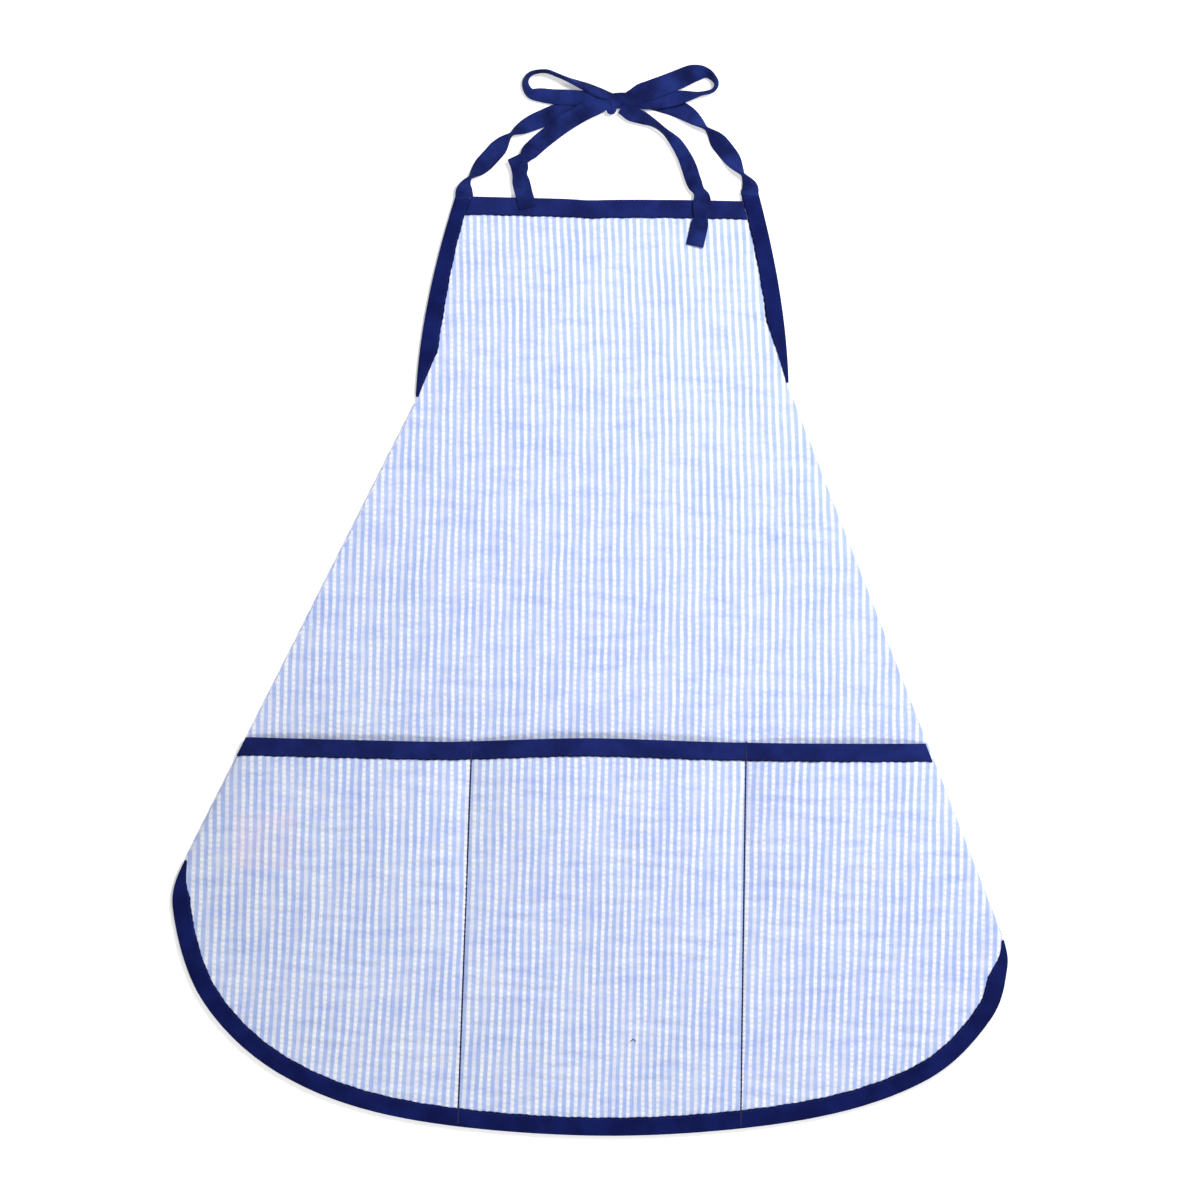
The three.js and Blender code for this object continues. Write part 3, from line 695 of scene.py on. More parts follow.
hem_line = even_steps(curve_through(
    [FOLD_FOOT["left"], *(hem_point(x, y) for x, y in HEM_SHAPE), FOLD_FOOT["right"]]), 0.002)
lowest = int(np.argmin(hem_line[:, 1]))
HEM_SIDE = {"left": hem_line[:lowest + 1], "right": hem_line[lowest:][::-1]}


def side_line(side, tape_inset, fold_inset):
    """One side of the front from the bib's corner to the lowest point of the hem, moved inwards."""
    fold = np.linspace(FOLD_TOP[side], FOLD_FOOT[side], 60)[1:-1]
    runs = [(armhole(side), tape_inset), (fold, fold_inset), (HEM_SIDE[side], tape_inset)]
    return np.concatenate([run + left_hand(run) * INWARD[side] * inset for run, inset in runs])


EDGE_INSET, FOLD_INSET = 0.0011, 0.0006
SIDES = {}
for side in ("left", "right"):
    line = side_line(side, EDGE_INSET, FOLD_INSET)
    SIDES[side] = line[np.argsort(line[:, 1])]


def side_x(side, y):
    """The x of one side of the cloth at a height y."""
    return np.interp(y, SIDES[side][:, 1], SIDES[side][:, 0])


def hem_y(x):
    """The height of the hem's edge at x."""
    return np.interp(x, hem_line[:, 0], hem_line[:, 1])


print("hem, m:", round(length_of(hem_line), 3))

# %% [markdown]
# Puckered cotton
# Seersucker is woven with its white stripes slack, so between the flat blue ones they bead up into
# rows of little puffs. A stripe is counted by u, which is a whole number in the middle of a white one,
# and the columns of the front and the pocket follow it, four to a stripe. The grain leans and spreads a
# little, as laid cloth does, so u is turned into a place by adding up a lean, row by row. Short ripples
# and long swells lift the cloth a few tenths of a millimetre.

# %% Grain of the cloth
COLUMN = 0.25  # stripes between two columns
ROW = 0.00132
BEAD = 0.0042  # from one puff to the next along a stripe
PUFF = 0.0006  # how high a puff stands
dice = np.random.default_rng(7)


def random_waves(count, lengths, slant, heights):
    """Waves of a length in metres, a slant, a phase and a height in millimetres, drawn in that order."""
    return [(dice.uniform(*lengths), dice.uniform(-slant, slant), dice.uniform(0, math.tau),
             dice.uniform(*heights)) for _ in range(count)]


RIPPLES = random_waves(9, (0.0085, 0.017), 0.2, (0.1, 0.19))
SWELLS = random_waves(7, (0.07, 0.2), 1.4, (0.1, 0.3))


def rippled(x, y, kinds, patch=0.0):
    """A sum of waves h sin(2 pi s / length + phase), each running down the cloth at its own slant.

    With patch above 0, slow waves across the cloth fade each ripple in and out."""
    total = np.zeros(np.broadcast(x, y).shape)
    for number, (length, slant, phase, height) in enumerate(kinds):
        run = y * math.cos(slant) + x * math.sin(slant)
        slow = np.sin(x * (38 + 7 * number) + y * (23 - 5 * number) + phase * 3)
        fade = 1 - patch * 0.5 * (1 + slow)
        total += height * fade * np.sin(math.tau * run / length + phase)
    return total * 0.001


def puffs(u, down):
    """Beads along the white stripes: each stripe has its own start, and its beads swell and shrink.

    Returns a height from 0 to 1 that is greatest on a bead and 0 in the middle of a blue stripe."""
    stripe = np.round(u)
    white = 1 - smoothstep(0.16, 0.44, np.abs(u - stripe))
    wander = 0.9 * np.sin(down * 190 + stripe * 2.4) + 0.7 * np.sin(down * 83 + stripe * 5.1)
    bead = 0.5 + 0.5 * np.sin(math.tau * down / BEAD + stripe * 2.9 + wander)
    strength = 0.62 + 0.38 * np.sin(down * 47 + stripe * 1.7)
    return white * bead * strength


def front_grain(y):
    """The pitch of the front's stripes at height y, and how far their lean, added up, has moved them."""
    down = LENGTH - y
    pitch = np.interp(down, [0, 0.06, 0.2, 0.3, 0.45], [5.7, 5.72, 5.85, 5.95, 6.0]) * 0.001
    heights = np.linspace(0, LENGTH, 400)
    lean = np.interp(heights, [0, 0.06, 0.19, 0.3, 0.45], [3.0, 2.2, 0.5, -0.6, -1.0])
    drift = np.cumsum(np.tan(np.radians(lean))) * (heights[1] - heights[0])
    return pitch, np.interp(down, heights, drift)


def front_waver(u, y):
    """A few tenths of a millimetre by which a stripe wanders: two sines down the cloth."""
    down = LENGTH - y
    return 0.00022 * np.sin(down * 62 + u * 0.31) + 0.00014 * np.sin(down * 171 + u * 1.1)


def front_x(u, y):
    """Where stripe u of the front lies at height y: pitch times u, with the drift and the waver."""
    pitch, drift = front_grain(y)
    return pitch * u + drift + front_waver(u, y)


def front_u(x, y):
    """Which stripe lies at x, y: front_x turned round, with the waver of the nearest straight stripe."""
    pitch, drift = front_grain(y)
    straight = (x - drift) / pitch
    return straight - front_waver(straight, y) / pitch


def pocket_x(u, y):
    """The same for the pocket, whose grain leans more towards its lower corners."""
    stripes = np.linspace(-70, 70, 561)
    pitch = np.interp(stripes, [-50, -20, -4, 5, 14, 45], [6.38, 6.2, 6.0, 5.72, 6.1, 6.28]) * 0.001
    across = np.cumsum(pitch) * (stripes[1] - stripes[0])
    across -= np.interp(0, stripes, across)
    down = MOUTH - y
    left, right = smoothstep(4, -38, u), smoothstep(4, 44, u)
    steps = 40
    depth = np.arange(steps)[:, None] / steps * down.max()
    lean = 1.3 + smoothstep(0.07, 0.26, depth) * (3.2 * left[:1] + 1.0 * right[:1])
    drift = np.concatenate([np.zeros((1, u.shape[1])), np.cumsum(np.tan(np.radians(lean)), axis=0)])
    drift *= down.max() / steps
    at = np.clip(down[:, :1] / down.max() * steps, 0, steps - 1e-6)
    low = at.astype(int)[:, 0]
    part = (at[:, 0] - low)[:, None]
    waver = 0.0002 * np.sin(down * 58 + u * 0.33) + 0.00014 * np.sin(down * 149 + u * 1.2)
    return np.interp(u, stripes, across) - (drift[low] * (1 - part) + drift[low + 1] * part) + waver


# %% [markdown]
# The striped finish
# The stripes, the weave and the shade between the puffs are painted from the same count u, which is the
# UV map's first number, so colour and shape agree wherever the cloth bends. The slanted threads at a
# stripe's edge blur it a little, and the blue is never quite even, because it is dyed in the yarn.


# %% Seersucker
def seersucker_finish(name, shows_label=False):
    """Blue where u is far from a whole number, weave as a bump, painted shade between puffs and in crinkles.
    """
    recipe = Recipe(name)
    where = recipe.on_cloth()
    u, down = recipe.parts(where)[:2]
    fuzz = recipe.noise(where, 7.0, 3.0)
    edge = recipe.math("MULTIPLY_ADD", fuzz, 0.09, recipe.math("PINGPONG", u, 0.5))
    blue = recipe.ramp(edge, 0.19, 0.35)
    weave = recipe.times(recipe.wave(u, 15), recipe.wave(down, 13))
    streak = recipe.noise(recipe.stretched(where, (9.0, 0.5, 1.0)), 1.0, 3.0)
    object_place = recipe.on_object()
    dye = recipe.noise(object_place, 26.0, 3.0)
    blue_share = recipe.ramp(recipe.math("MULTIPLY_ADD", streak, 0.6, recipe.times(dye, 0.5)), 0.32, 0.78)
    blue_tint = recipe.mix(blue_share, colour(166, 186, 239), colour(195, 210, 247))
    white_tint = recipe.mix(recipe.ramp(streak, 0.3, 0.75), colour(242, 245, 249), colour(252, 252, 252))
    tint = recipe.mix(blue, white_tint, blue_tint)
    puff = recipe.node("ShaderNodeAttribute", attribute_name="puff", output=2)
    hollow = recipe.times(recipe.ramp(puff, 0.42, 0.04), recipe.math("SUBTRACT", 1.0, blue))
    tint = recipe.mix(recipe.times(hollow, 0.55), tint, colour(203, 209, 238))
    # Painted shade of crinkles: soft patches, wide across the stripes and short down them, darken the
    # colour.
    painted_crinkle_shade = recipe.noise(recipe.stretched(where, (0.17, 0.8, 1.0)), 1.0, 3.0)
    painted_crinkle_shade = recipe.ramp(painted_crinkle_shade, 0.42, 0.72, 0.0, 0.5)
    tint = recipe.mix(painted_crinkle_shade, tint, colour(222, 228, 250), "MULTIPLY")
    if shows_label:
        low, high = (np.array(corner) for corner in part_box("care_label"))
        centre = (low + high) / 2
        from_label = {0: object_place, 1: tuple(centre)}
        place = recipe.parts(recipe.node("ShaderNodeVectorMath", from_label, operation="SUBTRACT"))
        inside = [
            recipe.ramp(recipe.math("ABSOLUTE", place[axis]), half, half - 0.008)
            for axis, half in ((0, 0.028), (1, 0.026))
        ]
        blush = recipe.times(recipe.times(*inside), recipe.ramp(dye, 0.3, 0.7, 0.08, 0.3))
        tint = recipe.mix(blush, tint, colour(247, 214, 232))
    height = recipe.math("MULTIPLY_ADD", weave, 0.5, recipe.times(fuzz, 1.2))
    rough = recipe.ramp(fuzz, 0.2, 0.8, 0.86, 0.98)
    return recipe.finish(tint, rough, height, 0.00006, Specular_IOR_Level=0.12, Sheen_Weight=0.06,
                         Sheen_Roughness=0.6)


SEERSUCKER = seersucker_finish("striped_seersucker")
POCKET_SEERSUCKER = seersucker_finish("striped_seersucker_over_label", shows_label=True)

# %% [markdown]
# Sheets of cloth
# A sheet is a grid with its columns on the grain. Each row is trimmed by stopping its points at the
# outline, and the slivers that this leaves are welded away. Cloth lies flat at a fold and under a
# binding, so its ripples and puffs fade out near its edges. The height of each puff is kept on the mesh
# for the finish to shade.


# %% Trimmed sheets
STRIPE = 0.006


def sheet_piece(name, points, stripe, drop, puff, quads, finish, body, stands_for):
    """A cloth from a grid of points. Its UV map counts stripes across and lengths of a stripe down."""
    uv = np.stack([stripe, drop / STRIPE, puff], axis=-1).reshape(-1, 3)
    kept, kept_uv, faces = welded(points.reshape(-1, 3), uv, quads)
    made = piece(name, kept, faces, kept_uv[:, :2], finish, "seersucker", body, stands_for)
    shade = made.data.attributes.new("puff", "FLOAT", "POINT")
    shade.data.foreach_set("value", kept_uv[:, 2].astype(np.float32))
    return made, kept, faces


def trimmed_sheet(name, u, y, grain, height, stands_for, finish, top):
    """A cloth of stripes u across and rows y down: x is the grain's, stopped at the two sides.

    Its height is a function of x, y, the distance to the nearer side, and the puff."""
    u, y = np.meshgrid(u, y)
    free = grain(u, y)
    x = np.clip(free, side_x("left", y), side_x("right", y))
    y = np.minimum(y, top(x))
    pitch = np.gradient(free, axis=1) / np.gradient(u, axis=1)
    u = u + (x - free) / pitch
    inside = np.minimum(x - side_x("left", y), side_x("right", y) - x)
    puff = puffs(u, LENGTH - y)
    points = placed(np.stack([x, y], axis=-1), height(x, y, inside, puff))
    made, kept, faces = sheet_piece(name, points, u, LENGTH - y, puff, lattice(*x.shape), finish,
                                    "apron_front", stands_for)
    area = float(areas(kept * [1, 1, 0], faces).sum())
    print(f"{name}: {area:.4f} square metres flat")
    return made, area


def crease_y(x):
    """A faint crease a little under the bib's top, which bends down towards the right."""
    return LENGTH - 0.0335 - 0.006 * smoothstep(-0.05, -0.01, x)


TOP_SAG = curve_through([
    (-0.105, -0.0024), (-0.037, -0.0041), (-0.0134, -0.0053), (0.0102, -0.0049), (0.0575, -0.0051),
    (0.105, -0.006),
])


def top_y(x):
    """The top tape's upper edge: it sags between the ties, more towards the right."""
    return LENGTH + np.interp(x, TOP_SAG[:, 0], TOP_SAG[:, 1])


def bib_top(x):
    """The height of the cloth inside the top tape: the tape's edge, less the tape's own bend."""
    return top_y(x) - 0.0018


SOFT_RISE = 0.0005


def front_height(x, y, inside, puff):
    """The front's level, its waves and puffs. A wave w becomes d ln(1 + e^(w / d)), which only rises.

    So the cloth swells up from the flaps that it lies on, and never sinks into them."""
    settle = smoothstep(0, 0.012, inside) * smoothstep(TAPE - 0.004, TAPE + 0.008, bib_top(x) - y)
    shown = smoothstep(MOUTH - 0.02, MOUTH + 0.004, y)
    waves = rippled(x, y, SWELLS) + rippled(x, y, RIPPLES, 0.9) * shown
    waves = SOFT_RISE * np.log1p(np.exp(waves / SOFT_RISE)) - 0.0002
    fold = 0.0005 * np.exp(-((y - crease_y(x)) / 0.0008) ** 2)
    fold = fold * smoothstep(-0.058, -0.05, x) * smoothstep(-0.016, -0.024, x)
    puffed = PUFF * (puff - 0.15) * smoothstep(0, 0.004, inside)
    return FRONT_LEVEL + waves * settle + (puffed + fold) * shown


fine_rows = np.arange(LENGTH - 0.0012, MOUTH - 0.012, -ROW)
coarse_rows = np.linspace(fine_rows[-1], 0.0015, 34)[1:]
front_cloth, front_area = trimmed_sheet(
    "front_cloth", np.arange(-62, 62.01, COLUMN), np.concatenate([fine_rows, coarse_rows]), front_x,
    front_height, ["front_panel"], SEERSUCKER, bib_top)

# %% [markdown]
# The pocket
# One cloth covers the whole skirt. Two seams hold it down, so between them and the folds it bellies up
# from the front: most at the mouth, and not at all at the hem. Its mouth dips a little at each seam.


# %% Pocket cloth
def seam_x(side, y):
    """A divider seam is straight from the mouth to the lowest height of the hem under it."""
    top, foot = SEAMS[side]
    return top + (foot - top) * (MOUTH - y) / MOUTH


def belly(x, y):
    """How far the pocket may stand open: 1 - (2t - 1)^4 for a share t of the way across a compartment."""
    edges = [side_x("left", y), seam_x("left", y), seam_x("right", y), side_x("right", y)]
    shares = [(x - low) / (high - low) for low, high in zip(edges, edges[1:])]
    share = np.select([x < edges[1], x < edges[2]], shares[:2], shares[2])
    return 1 - (2 * np.clip(share, 0, 1) - 1) ** 4


MOUTH_SAG = curve_through([
    (-0.277, 0.0008), (-0.147, -0.0023), (-0.106, -0.0023), (-0.0134, 0.0002), (0.1094, -0.0034),
    (0.2526, -0.0042),
])


def mouth_y(x):
    """The mouth's height across the apron: a line that rises in the middle and falls to the right."""
    return MOUTH + np.interp(x, MOUTH_SAG[:, 0], MOUTH_SAG[:, 1])


def pocket_lift(x, y):
    """The pocket's height over its flat level: full at the mouth, and none where the hem tape holds it."""
    down = np.maximum(mouth_y(x) - y, 0)
    length = np.maximum(MOUTH - hem_y(x), 0.05)
    held = 1 - smoothstep(TAPE + 0.002, np.maximum(length - TAPE - 0.003, TAPE + 0.01), down)
    return (INSET + GAPE * belly(x, y)) * held


def groove(x, y):
    """Cloth pulled down by a divider seam: a hollow that is 1 on the seam and gone 4 mm away."""
    gap = np.minimum(np.abs(x - seam_x("left", y)), np.abs(x - seam_x("right", y)))
    return np.exp(-(gap / 0.0016) ** 2)


def pocket_height(x, y, inside, puff):
    """The pocket's level, belly, waves and puffs. They fade out under its two tapes and at its seams."""
    free = smoothstep(TAPE - 0.001, TAPE + 0.012, mouth_y(x) - y)
    free = free * smoothstep(TAPE - 0.004, TAPE + 0.008, y - hem_y(x))
    settle = smoothstep(0, 0.012, inside) * free * (1 - groove(x, y))
    level = POCKET_LEVEL + pocket_lift(x, y) - 0.0009 * (1 - smoothstep(0, 0.0025, inside))
    waves = rippled(x, y, SWELLS) * 0.8 + rippled(x + 0.4, y, RIPPLES, 0.85)
    puffed = PUFF * (puff - 0.15) * smoothstep(0, 0.004, inside) * (0.35 + 0.65 * free)
    return level - 0.0005 * groove(x, y) + waves * settle + puffed


pocket_rows = np.arange(MOUTH - 0.0045, 0.0012, -ROW)
pocket_rows = np.concatenate([[MOUTH - 0.0005, MOUTH - 0.0018, MOUTH - 0.0031], pocket_rows])
pocket_cloth, pocket_area = trimmed_sheet(
    "pocket_cloth", np.arange(-60, 60.01, COLUMN), pocket_rows, pocket_x, pocket_height,
    ["pocket_panel"], POCKET_SEERSUCKER, mouth_y)

# %% [markdown]
# Side flaps
# The cloth turns under at each fold in a bend of less than a millimetre and carries on behind. On the
# flap the stripes are the front's own, mirrored by the fold.


# %% Flap cloths
BEND = 0.0008  # radius of the turn at a fold, r in the formulas
BEND_COLUMNS = 9
FLAP_ROW = 0.002


def flap_reach(side, u):
    """How far in under the apron the flap reaches, at a distance u down its fold."""
    arm, edge = flap_edges(side)
    line = np.concatenate([arm[:-1], edge])
    line = line - left_hand(line) * EDGE_INSET
    line = line[np.argsort(line[:, 0])]
    return np.maximum(np.interp(u, line[:, 0], line[:, 1]), 0.0)


def flap_cloth(side):
    """Rows run down the fold, columns go round the bend and then in under the apron.

    With v the distance in from the fold, the bend is a half circle, from v = r on the front's level to
    v = r on the flap's, and the rest lies on the flap's level."""
    length = fold_frame(side)[0]
    run = np.linspace(FLAP_ROW, length - FLAP_ROW, int(length / FLAP_ROW))
    turn = np.linspace(0, math.pi, BEND_COLUMNS)
    share = np.linspace(0, 1, 34)[1:]
    u = run[:, None]
    limit = np.maximum(flap_reach(side, u), BEND + 0.0004)
    bend_v = np.broadcast_to(BEND * (1 - np.sin(turn)), (len(run), BEND_COLUMNS))
    v = np.concatenate([bend_v, BEND + (limit - BEND) * share], axis=1)
    middle = (FRONT_LEVEL + FLAP_LEVEL) / 2
    z = np.concatenate([middle + (FRONT_LEVEL - middle) * np.cos(turn), np.full(len(share), FLAP_LEVEL)])
    u = np.broadcast_to(u, v.shape)
    opened_x, opened_y = np.moveaxis(on_fold(side, u, -v), -1, 0)
    stripe = front_u(opened_x, opened_y)
    drop = LENGTH - opened_y
    puff = puffs(stripe, drop)
    inner = smoothstep(0.001, 0.006, v) * smoothstep(0, 0.004, limit - v)
    z = z + (0.0003 * (0.5 - puff) + rippled(opened_x, opened_y, RIPPLES, 0.9) * 0.35) * inner
    quads = lattice(*v.shape)[:, ::-INWARD[side]]
    made, kept, faces = sheet_piece(f"{side}_flap_cloth", placed(on_fold(side, u, v), z), stripe, drop, puff,
                                    quads, SEERSUCKER, None, [f"{side}_flap_panel"])
    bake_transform(made)
    return made, float(areas(kept, faces).sum())


flap_cloths = {side: flap_cloth(side) for side in ("left", "right")}

# %% [markdown]
# Bindings
# Every edge is closed by grosgrain folded over it. Seen end on, such a tape is a hairpin: two arms on the
# two faces of the cloth and a round bend outside its edge. The hairpin is carried along each edge, and
# puffs under it push its inner edge in and out, so it isn't ruled straight.


# %% A folded tape
ARM_POINTS, BEND_POINTS = 5, 9
DROOP = 0.00022  # how far an arm leans in at its end


def binding(name, path, inward, width, low, high, body, stands_for, finish=EDGE_GROSGRAIN):
    """A hairpin profile along an edge.

    Outside: the arms are lines at middle +- r from the inner edge to the bend, and the bend is
    s = r (1 - sin f), z = middle + r cos f. Inside is the same about the same centre, at a radius
    smaller by the tape's thickness.
    s is measured along `inward`, z is up, and the arms lean in by DROOP towards their ends."""
    path = np.asarray(path, float)
    count = len(path)
    low, high, width = (np.broadcast_to(value, count)[:, None] for value in (low, high, width))
    distance = along_line(path)[:, None]
    turns = math.tau * distance
    radius, middle = (high - low) / 2, (high + low) / 2
    scallop = 0.00022 * np.sin(turns / 0.0059) + 0.00018 * np.sin(turns / 0.0233 + 1)
    width = width + scallop * np.minimum(width / TAPE, 1)
    lift = 0.00013 * np.sin(turns / 0.0117 + 0.5) + 0.0001 * np.sin(turns / 0.031)
    arm = np.linspace(1, 0, ARM_POINTS + 1)[None, :-1]
    turn = np.linspace(0, math.pi, BEND_POINTS)[None]

    def hairpin(r):
        """The profile at one radius r: upper arm, bend and lower arm, as s and z."""
        bend_s, bend_z = radius - r * np.sin(turn), r * np.cos(turn)
        arm_s = radius + (width - radius) * arm
        arm_z = np.broadcast_to(r - DROOP * arm ** 2, (count, ARM_POINTS))
        s = np.concatenate([arm_s, bend_s, arm_s[:, ::-1]], axis=1)
        z = np.concatenate([arm_z, bend_z, -arm_z[:, ::-1]], axis=1)
        return s, z

    outer_s, outer_z = hairpin(radius)
    inner_s, inner_z = hairpin(radius - TAPE_THICK)
    s = np.concatenate([outer_s, inner_s[:, ::-1]], axis=1)
    z = middle + lift + np.concatenate([outer_z, inner_z[:, ::-1]], axis=1)
    z = np.maximum(z, FLOOR_GAP / 2)
    points = placed(path[:, None] + inward[:, None] * s[..., None], z).reshape(-1, 3)
    ring = s.shape[1]
    half = ring // 2
    steps = np.cumsum(np.hypot(np.diff(s), np.diff(z)), axis=1)
    around = np.concatenate([np.zeros((count, 1)), steps], axis=1)
    uv = np.stack([np.broadcast_to(distance, s.shape), around], axis=-1) * 1000
    i = np.arange(half - 1)
    start = np.stack([i, i + 1, ring - 2 - i, ring - 1 - i], axis=1)
    end = (start + (count - 1) * ring)[:, ::-1]
    faces = facing_out(points, np.concatenate([lattice(count, ring, around=True), start, end]))
    return piece(name, points, faces, uv.reshape(-1, 2), finish, "grosgrain", body, stands_for)


def sew(key, path, inward, width, low, high, body, stands_for, finish=EDGE_GROSGRAIN):
    """Makes a binding, and keeps its path for the stitches."""
    tapes[key] = binding(stands_for + "_sewn", path, inward, width, low, high, body, [stands_for], finish)
    edge_paths[key] = (path, inward, np.broadcast_to(width, len(path)), high)


# %% [markdown]
# Tapes of the front
# The armholes' tapes narrow towards the folds, because part of each goes round with the cloth. The top
# and mouth tapes end square to the edges they run into, so their arms slant more near their ends.

# %% Tapes of the front
STEP = 0.0016
TAPER = {"left": 0.045, "right": 0.06}  # the length in which an armhole's tape narrows
ARM_TAPE = {"left": (0.0115, 0.0118, 0.0142), "right": (0.0135, 0.0135, 0.0138)}  # widths going down
NARROWEST = 0.0012
tapes = {}
edge_paths = {}
for side, sign in INWARD.items():
    path = even_steps(armhole(side), STEP)[:-2]
    inward = left_hand(path) * sign
    inward[0] = (sign, 0)
    away = np.linalg.norm(path - FOLD_TOP[side], axis=1)
    full = np.interp(LENGTH - path[:, 1], [0, 0.03, 0.09], ARM_TAPE[side])
    width = np.minimum(full, NARROWEST + away * TAPE / TAPER[side])
    name = f"{side}_armhole_tape"
    sew(name, path, inward, width, EDGE_LOW, EDGE_HIGH, "apron_front", name)

top_ends = []
for side, sign in INWARD.items():
    line = armhole(side)[::-1]
    reach = sign * (ARM_TAPE[side][0] + 2 * EASE)
    level = top_y(line[-1, 0] + reach)
    top_ends.append(np.interp(level, line[:, 1], line[:, 0]) + reach)
top_share = np.linspace(0, 1, 130)
top_across = np.linspace(*top_ends, len(top_share))
top_path = np.stack([top_across, top_y(top_across)], axis=1)
top_inward = np.tile([0.0, -1.0], (len(top_share), 1))
for side, share in (("left", top_share), ("right", top_share[::-1])):
    line = armhole(side)
    way = unit(line[8] - line[0])
    top_inward[:, 0] += way[0] / abs(way[1]) * np.exp(-share * 60)
sew("top", top_path, top_inward, TAPE, EDGE_LOW, EDGE_HIGH, "apron_front", "top_edge_tape", GROSGRAIN)

hem_path = hem_line[1:-1]
hem_away = np.min([np.linalg.norm(hem_path - foot, axis=1) for foot in FOLD_FOOT.values()], axis=0)
hem_width = np.minimum(TAPE, NARROWEST + hem_away * 0.4)
sew("hem", hem_path, left_hand(hem_line)[1:-1], hem_width, EDGE_LOW, HEM_HIGH, "apron_front", "hem_tape")

mouth_ends = [fold_point(side, MOUTH)[0] + sign * 2 * EASE for side, sign in INWARD.items()]
mouth_across = np.linspace(*mouth_ends, int((mouth_ends[1] - mouth_ends[0]) / STEP))
mouth_path = np.stack([mouth_across, mouth_y(mouth_across) + INSET], axis=1)
mouth_slant = np.zeros(len(mouth_across))
for side, end in zip(INWARD, mouth_ends):
    fall = FOLD_FOOT[side] - FOLD_TOP[side]
    mouth_slant += fall[0] / -fall[1] * np.exp(-np.abs(mouth_across - end) / 0.02)
mouth_inward = np.stack([mouth_slant, np.full(len(mouth_slant), -1.0)], axis=1)
mouth_middle = POCKET_LEVEL + pocket_lift(mouth_across, mouth_path[:, 1] - INSET - 0.0001)
sew("mouth", mouth_path, mouth_inward, TAPE, mouth_middle - 0.001, mouth_middle + 0.001, "apron_front",
    "pocket_mouth_tape", GROSGRAIN)


# %% Tapes of the flaps
FLAP_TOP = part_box("left_side_tape")[1].z


def flap_tape(side, name, run, inward):
    """One binding of a flap, from a run and its inward directions in u and v.

    Near a fold it narrows to the room that is left there, and where that is under 2.5 mm it stops."""
    _, down, under = fold_frame(side)
    room = np.where(inward[:, 1] < 0, (run[:, 1] - 2 * EASE) / np.maximum(-inward[:, 1], 1e-6), TAPE)
    width = np.minimum(TAPE, room)
    keep = width > 0.0025
    run, inward, width = run[keep], inward[keep], width[keep]
    turned = inward[:, :1] * down + inward[:, 1:] * under
    full = f"{side}_{name}"
    sew(full, on_fold(side, run[:, 0], run[:, 1]), turned, width, 0.0, FLAP_TOP, f"{side}_flap", full)
    return tapes[full]


def flap_tapes(side):
    """The armhole's and the side's binding on a flap, meeting in a mitre at the waist corner."""
    arm, edge = flap_edges(side)
    _, mitre = waist_mitre(arm, edge)
    arm_run = even_steps(arm, STEP)
    arm_inward = -left_hand(arm_run)
    arm_inward[-1] = mitre
    arm_inward[-4:-1] = arm_inward[-5] + (mitre - arm_inward[-5]) * np.array([[0.15], [0.4], [0.7]])
    edge_run = even_steps(edge, STEP)
    corner = TAPE * np.linalg.norm(mitre) + 4 * EASE
    edge_run = edge_run[np.linalg.norm(edge_run - edge[0], axis=1) > corner]
    return [flap_tape(side, "flap_armhole_tape", arm_run, arm_inward),
            flap_tape(side, "side_tape", edge_run, -left_hand(edge_run))]


flap_bindings = {side: flap_tapes(side) for side in ("left", "right")}

# %% [markdown]
# Stitching
# A sewing machine leaves a row of short thread dashes a little inside each tape's inner edge. Every
# stitch is one small flattened bead with few faces, because there are more than a thousand of them.


# %% Stitches
BEAD_POINTS = 6
UP = np.array([0, 0, 1])
STITCH, SPACING = (0.0022, 0.00042), 0.0030  # long and wide, and from one stitch to the next
FROM_EDGE = 0.0017  # a row's distance from its tape's inner edge
SUNK = 0.00016  # how deep a stitch lies in the tape
NARROW = 0.003  # a tape narrower than this has no stitches


def stitches(name, middle, way, long, wide, body, stands_for=()):
    """One bead for each stitch, at its middle and along its way. Half its length is L, half its width W.

    It measures L cos p along the row, W s cos q across it and 0.7 W s sin q up, with s = sin^0.6 p.
    The first bead is welded at its two ends, and the others keep the same points and faces."""
    p = np.linspace(0, math.pi, BEAD_POINTS)
    q = np.linspace(0, math.tau, BEAD_POINTS, endpoint=False)
    p, q = np.meshgrid(p, q, indexing="ij")
    along = (np.cos(p) * long / 2)[..., None]
    across = (np.sin(p) ** 0.6 * np.cos(q) * wide / 2)[..., None]
    up = (np.sin(p) ** 0.6 * np.sin(q) * wide * 0.35)[..., None]
    side = np.stack([-way[:, 1], way[:, 0], np.zeros(len(way))], axis=1)
    middle, way, side = (vector[:, None, None] for vector in (middle, way, side))
    points = (middle + way * along + side * across + UP * up).reshape(len(middle), -1, 3)
    uv = np.concatenate([along * 1000, q[..., None]], axis=-1).reshape(-1, 2)
    one, one_uv, triangles = welded(points[0], uv, lattice(BEAD_POINTS, BEAD_POINTS, around=True))
    order = [np.argmin(np.linalg.norm(points[0] - point, axis=1)) for point in one]
    triangles = facing_out(one - one.mean(axis=0), triangles)
    starts = np.arange(len(points))[:, None, None] * len(one)
    return piece(name, points[:, order].reshape(-1, 3), (triangles + starts).reshape(-1, 3),
                 np.tile(one_uv, (len(points), 1)), THREAD, "thread", body, stands_for)


def tape_row(path, inward, width, high):
    """Places and directions of the stitches inside a tape's inner edge, where it is wide enough."""
    line = path + inward * np.maximum(width - FROM_EDGE, 0.0008)[:, None]
    row = even_steps(np.column_stack([line, np.broadcast_to(high, len(path)), width]), SPACING)
    row = row[row[:, 3] > NARROW]
    flat = placed(row[:, :2], row[:, 2] - SUNK)
    return flat, unit(np.gradient(flat, axis=0))


def sew_rows(name, keys, body):
    """The stitches of several tapes on one body, as one piece."""
    middles, ways = zip(*(tape_row(*edge_paths[key]) for key in keys))
    return stitches(name, np.concatenate(middles), np.concatenate(ways), *STITCH, body)


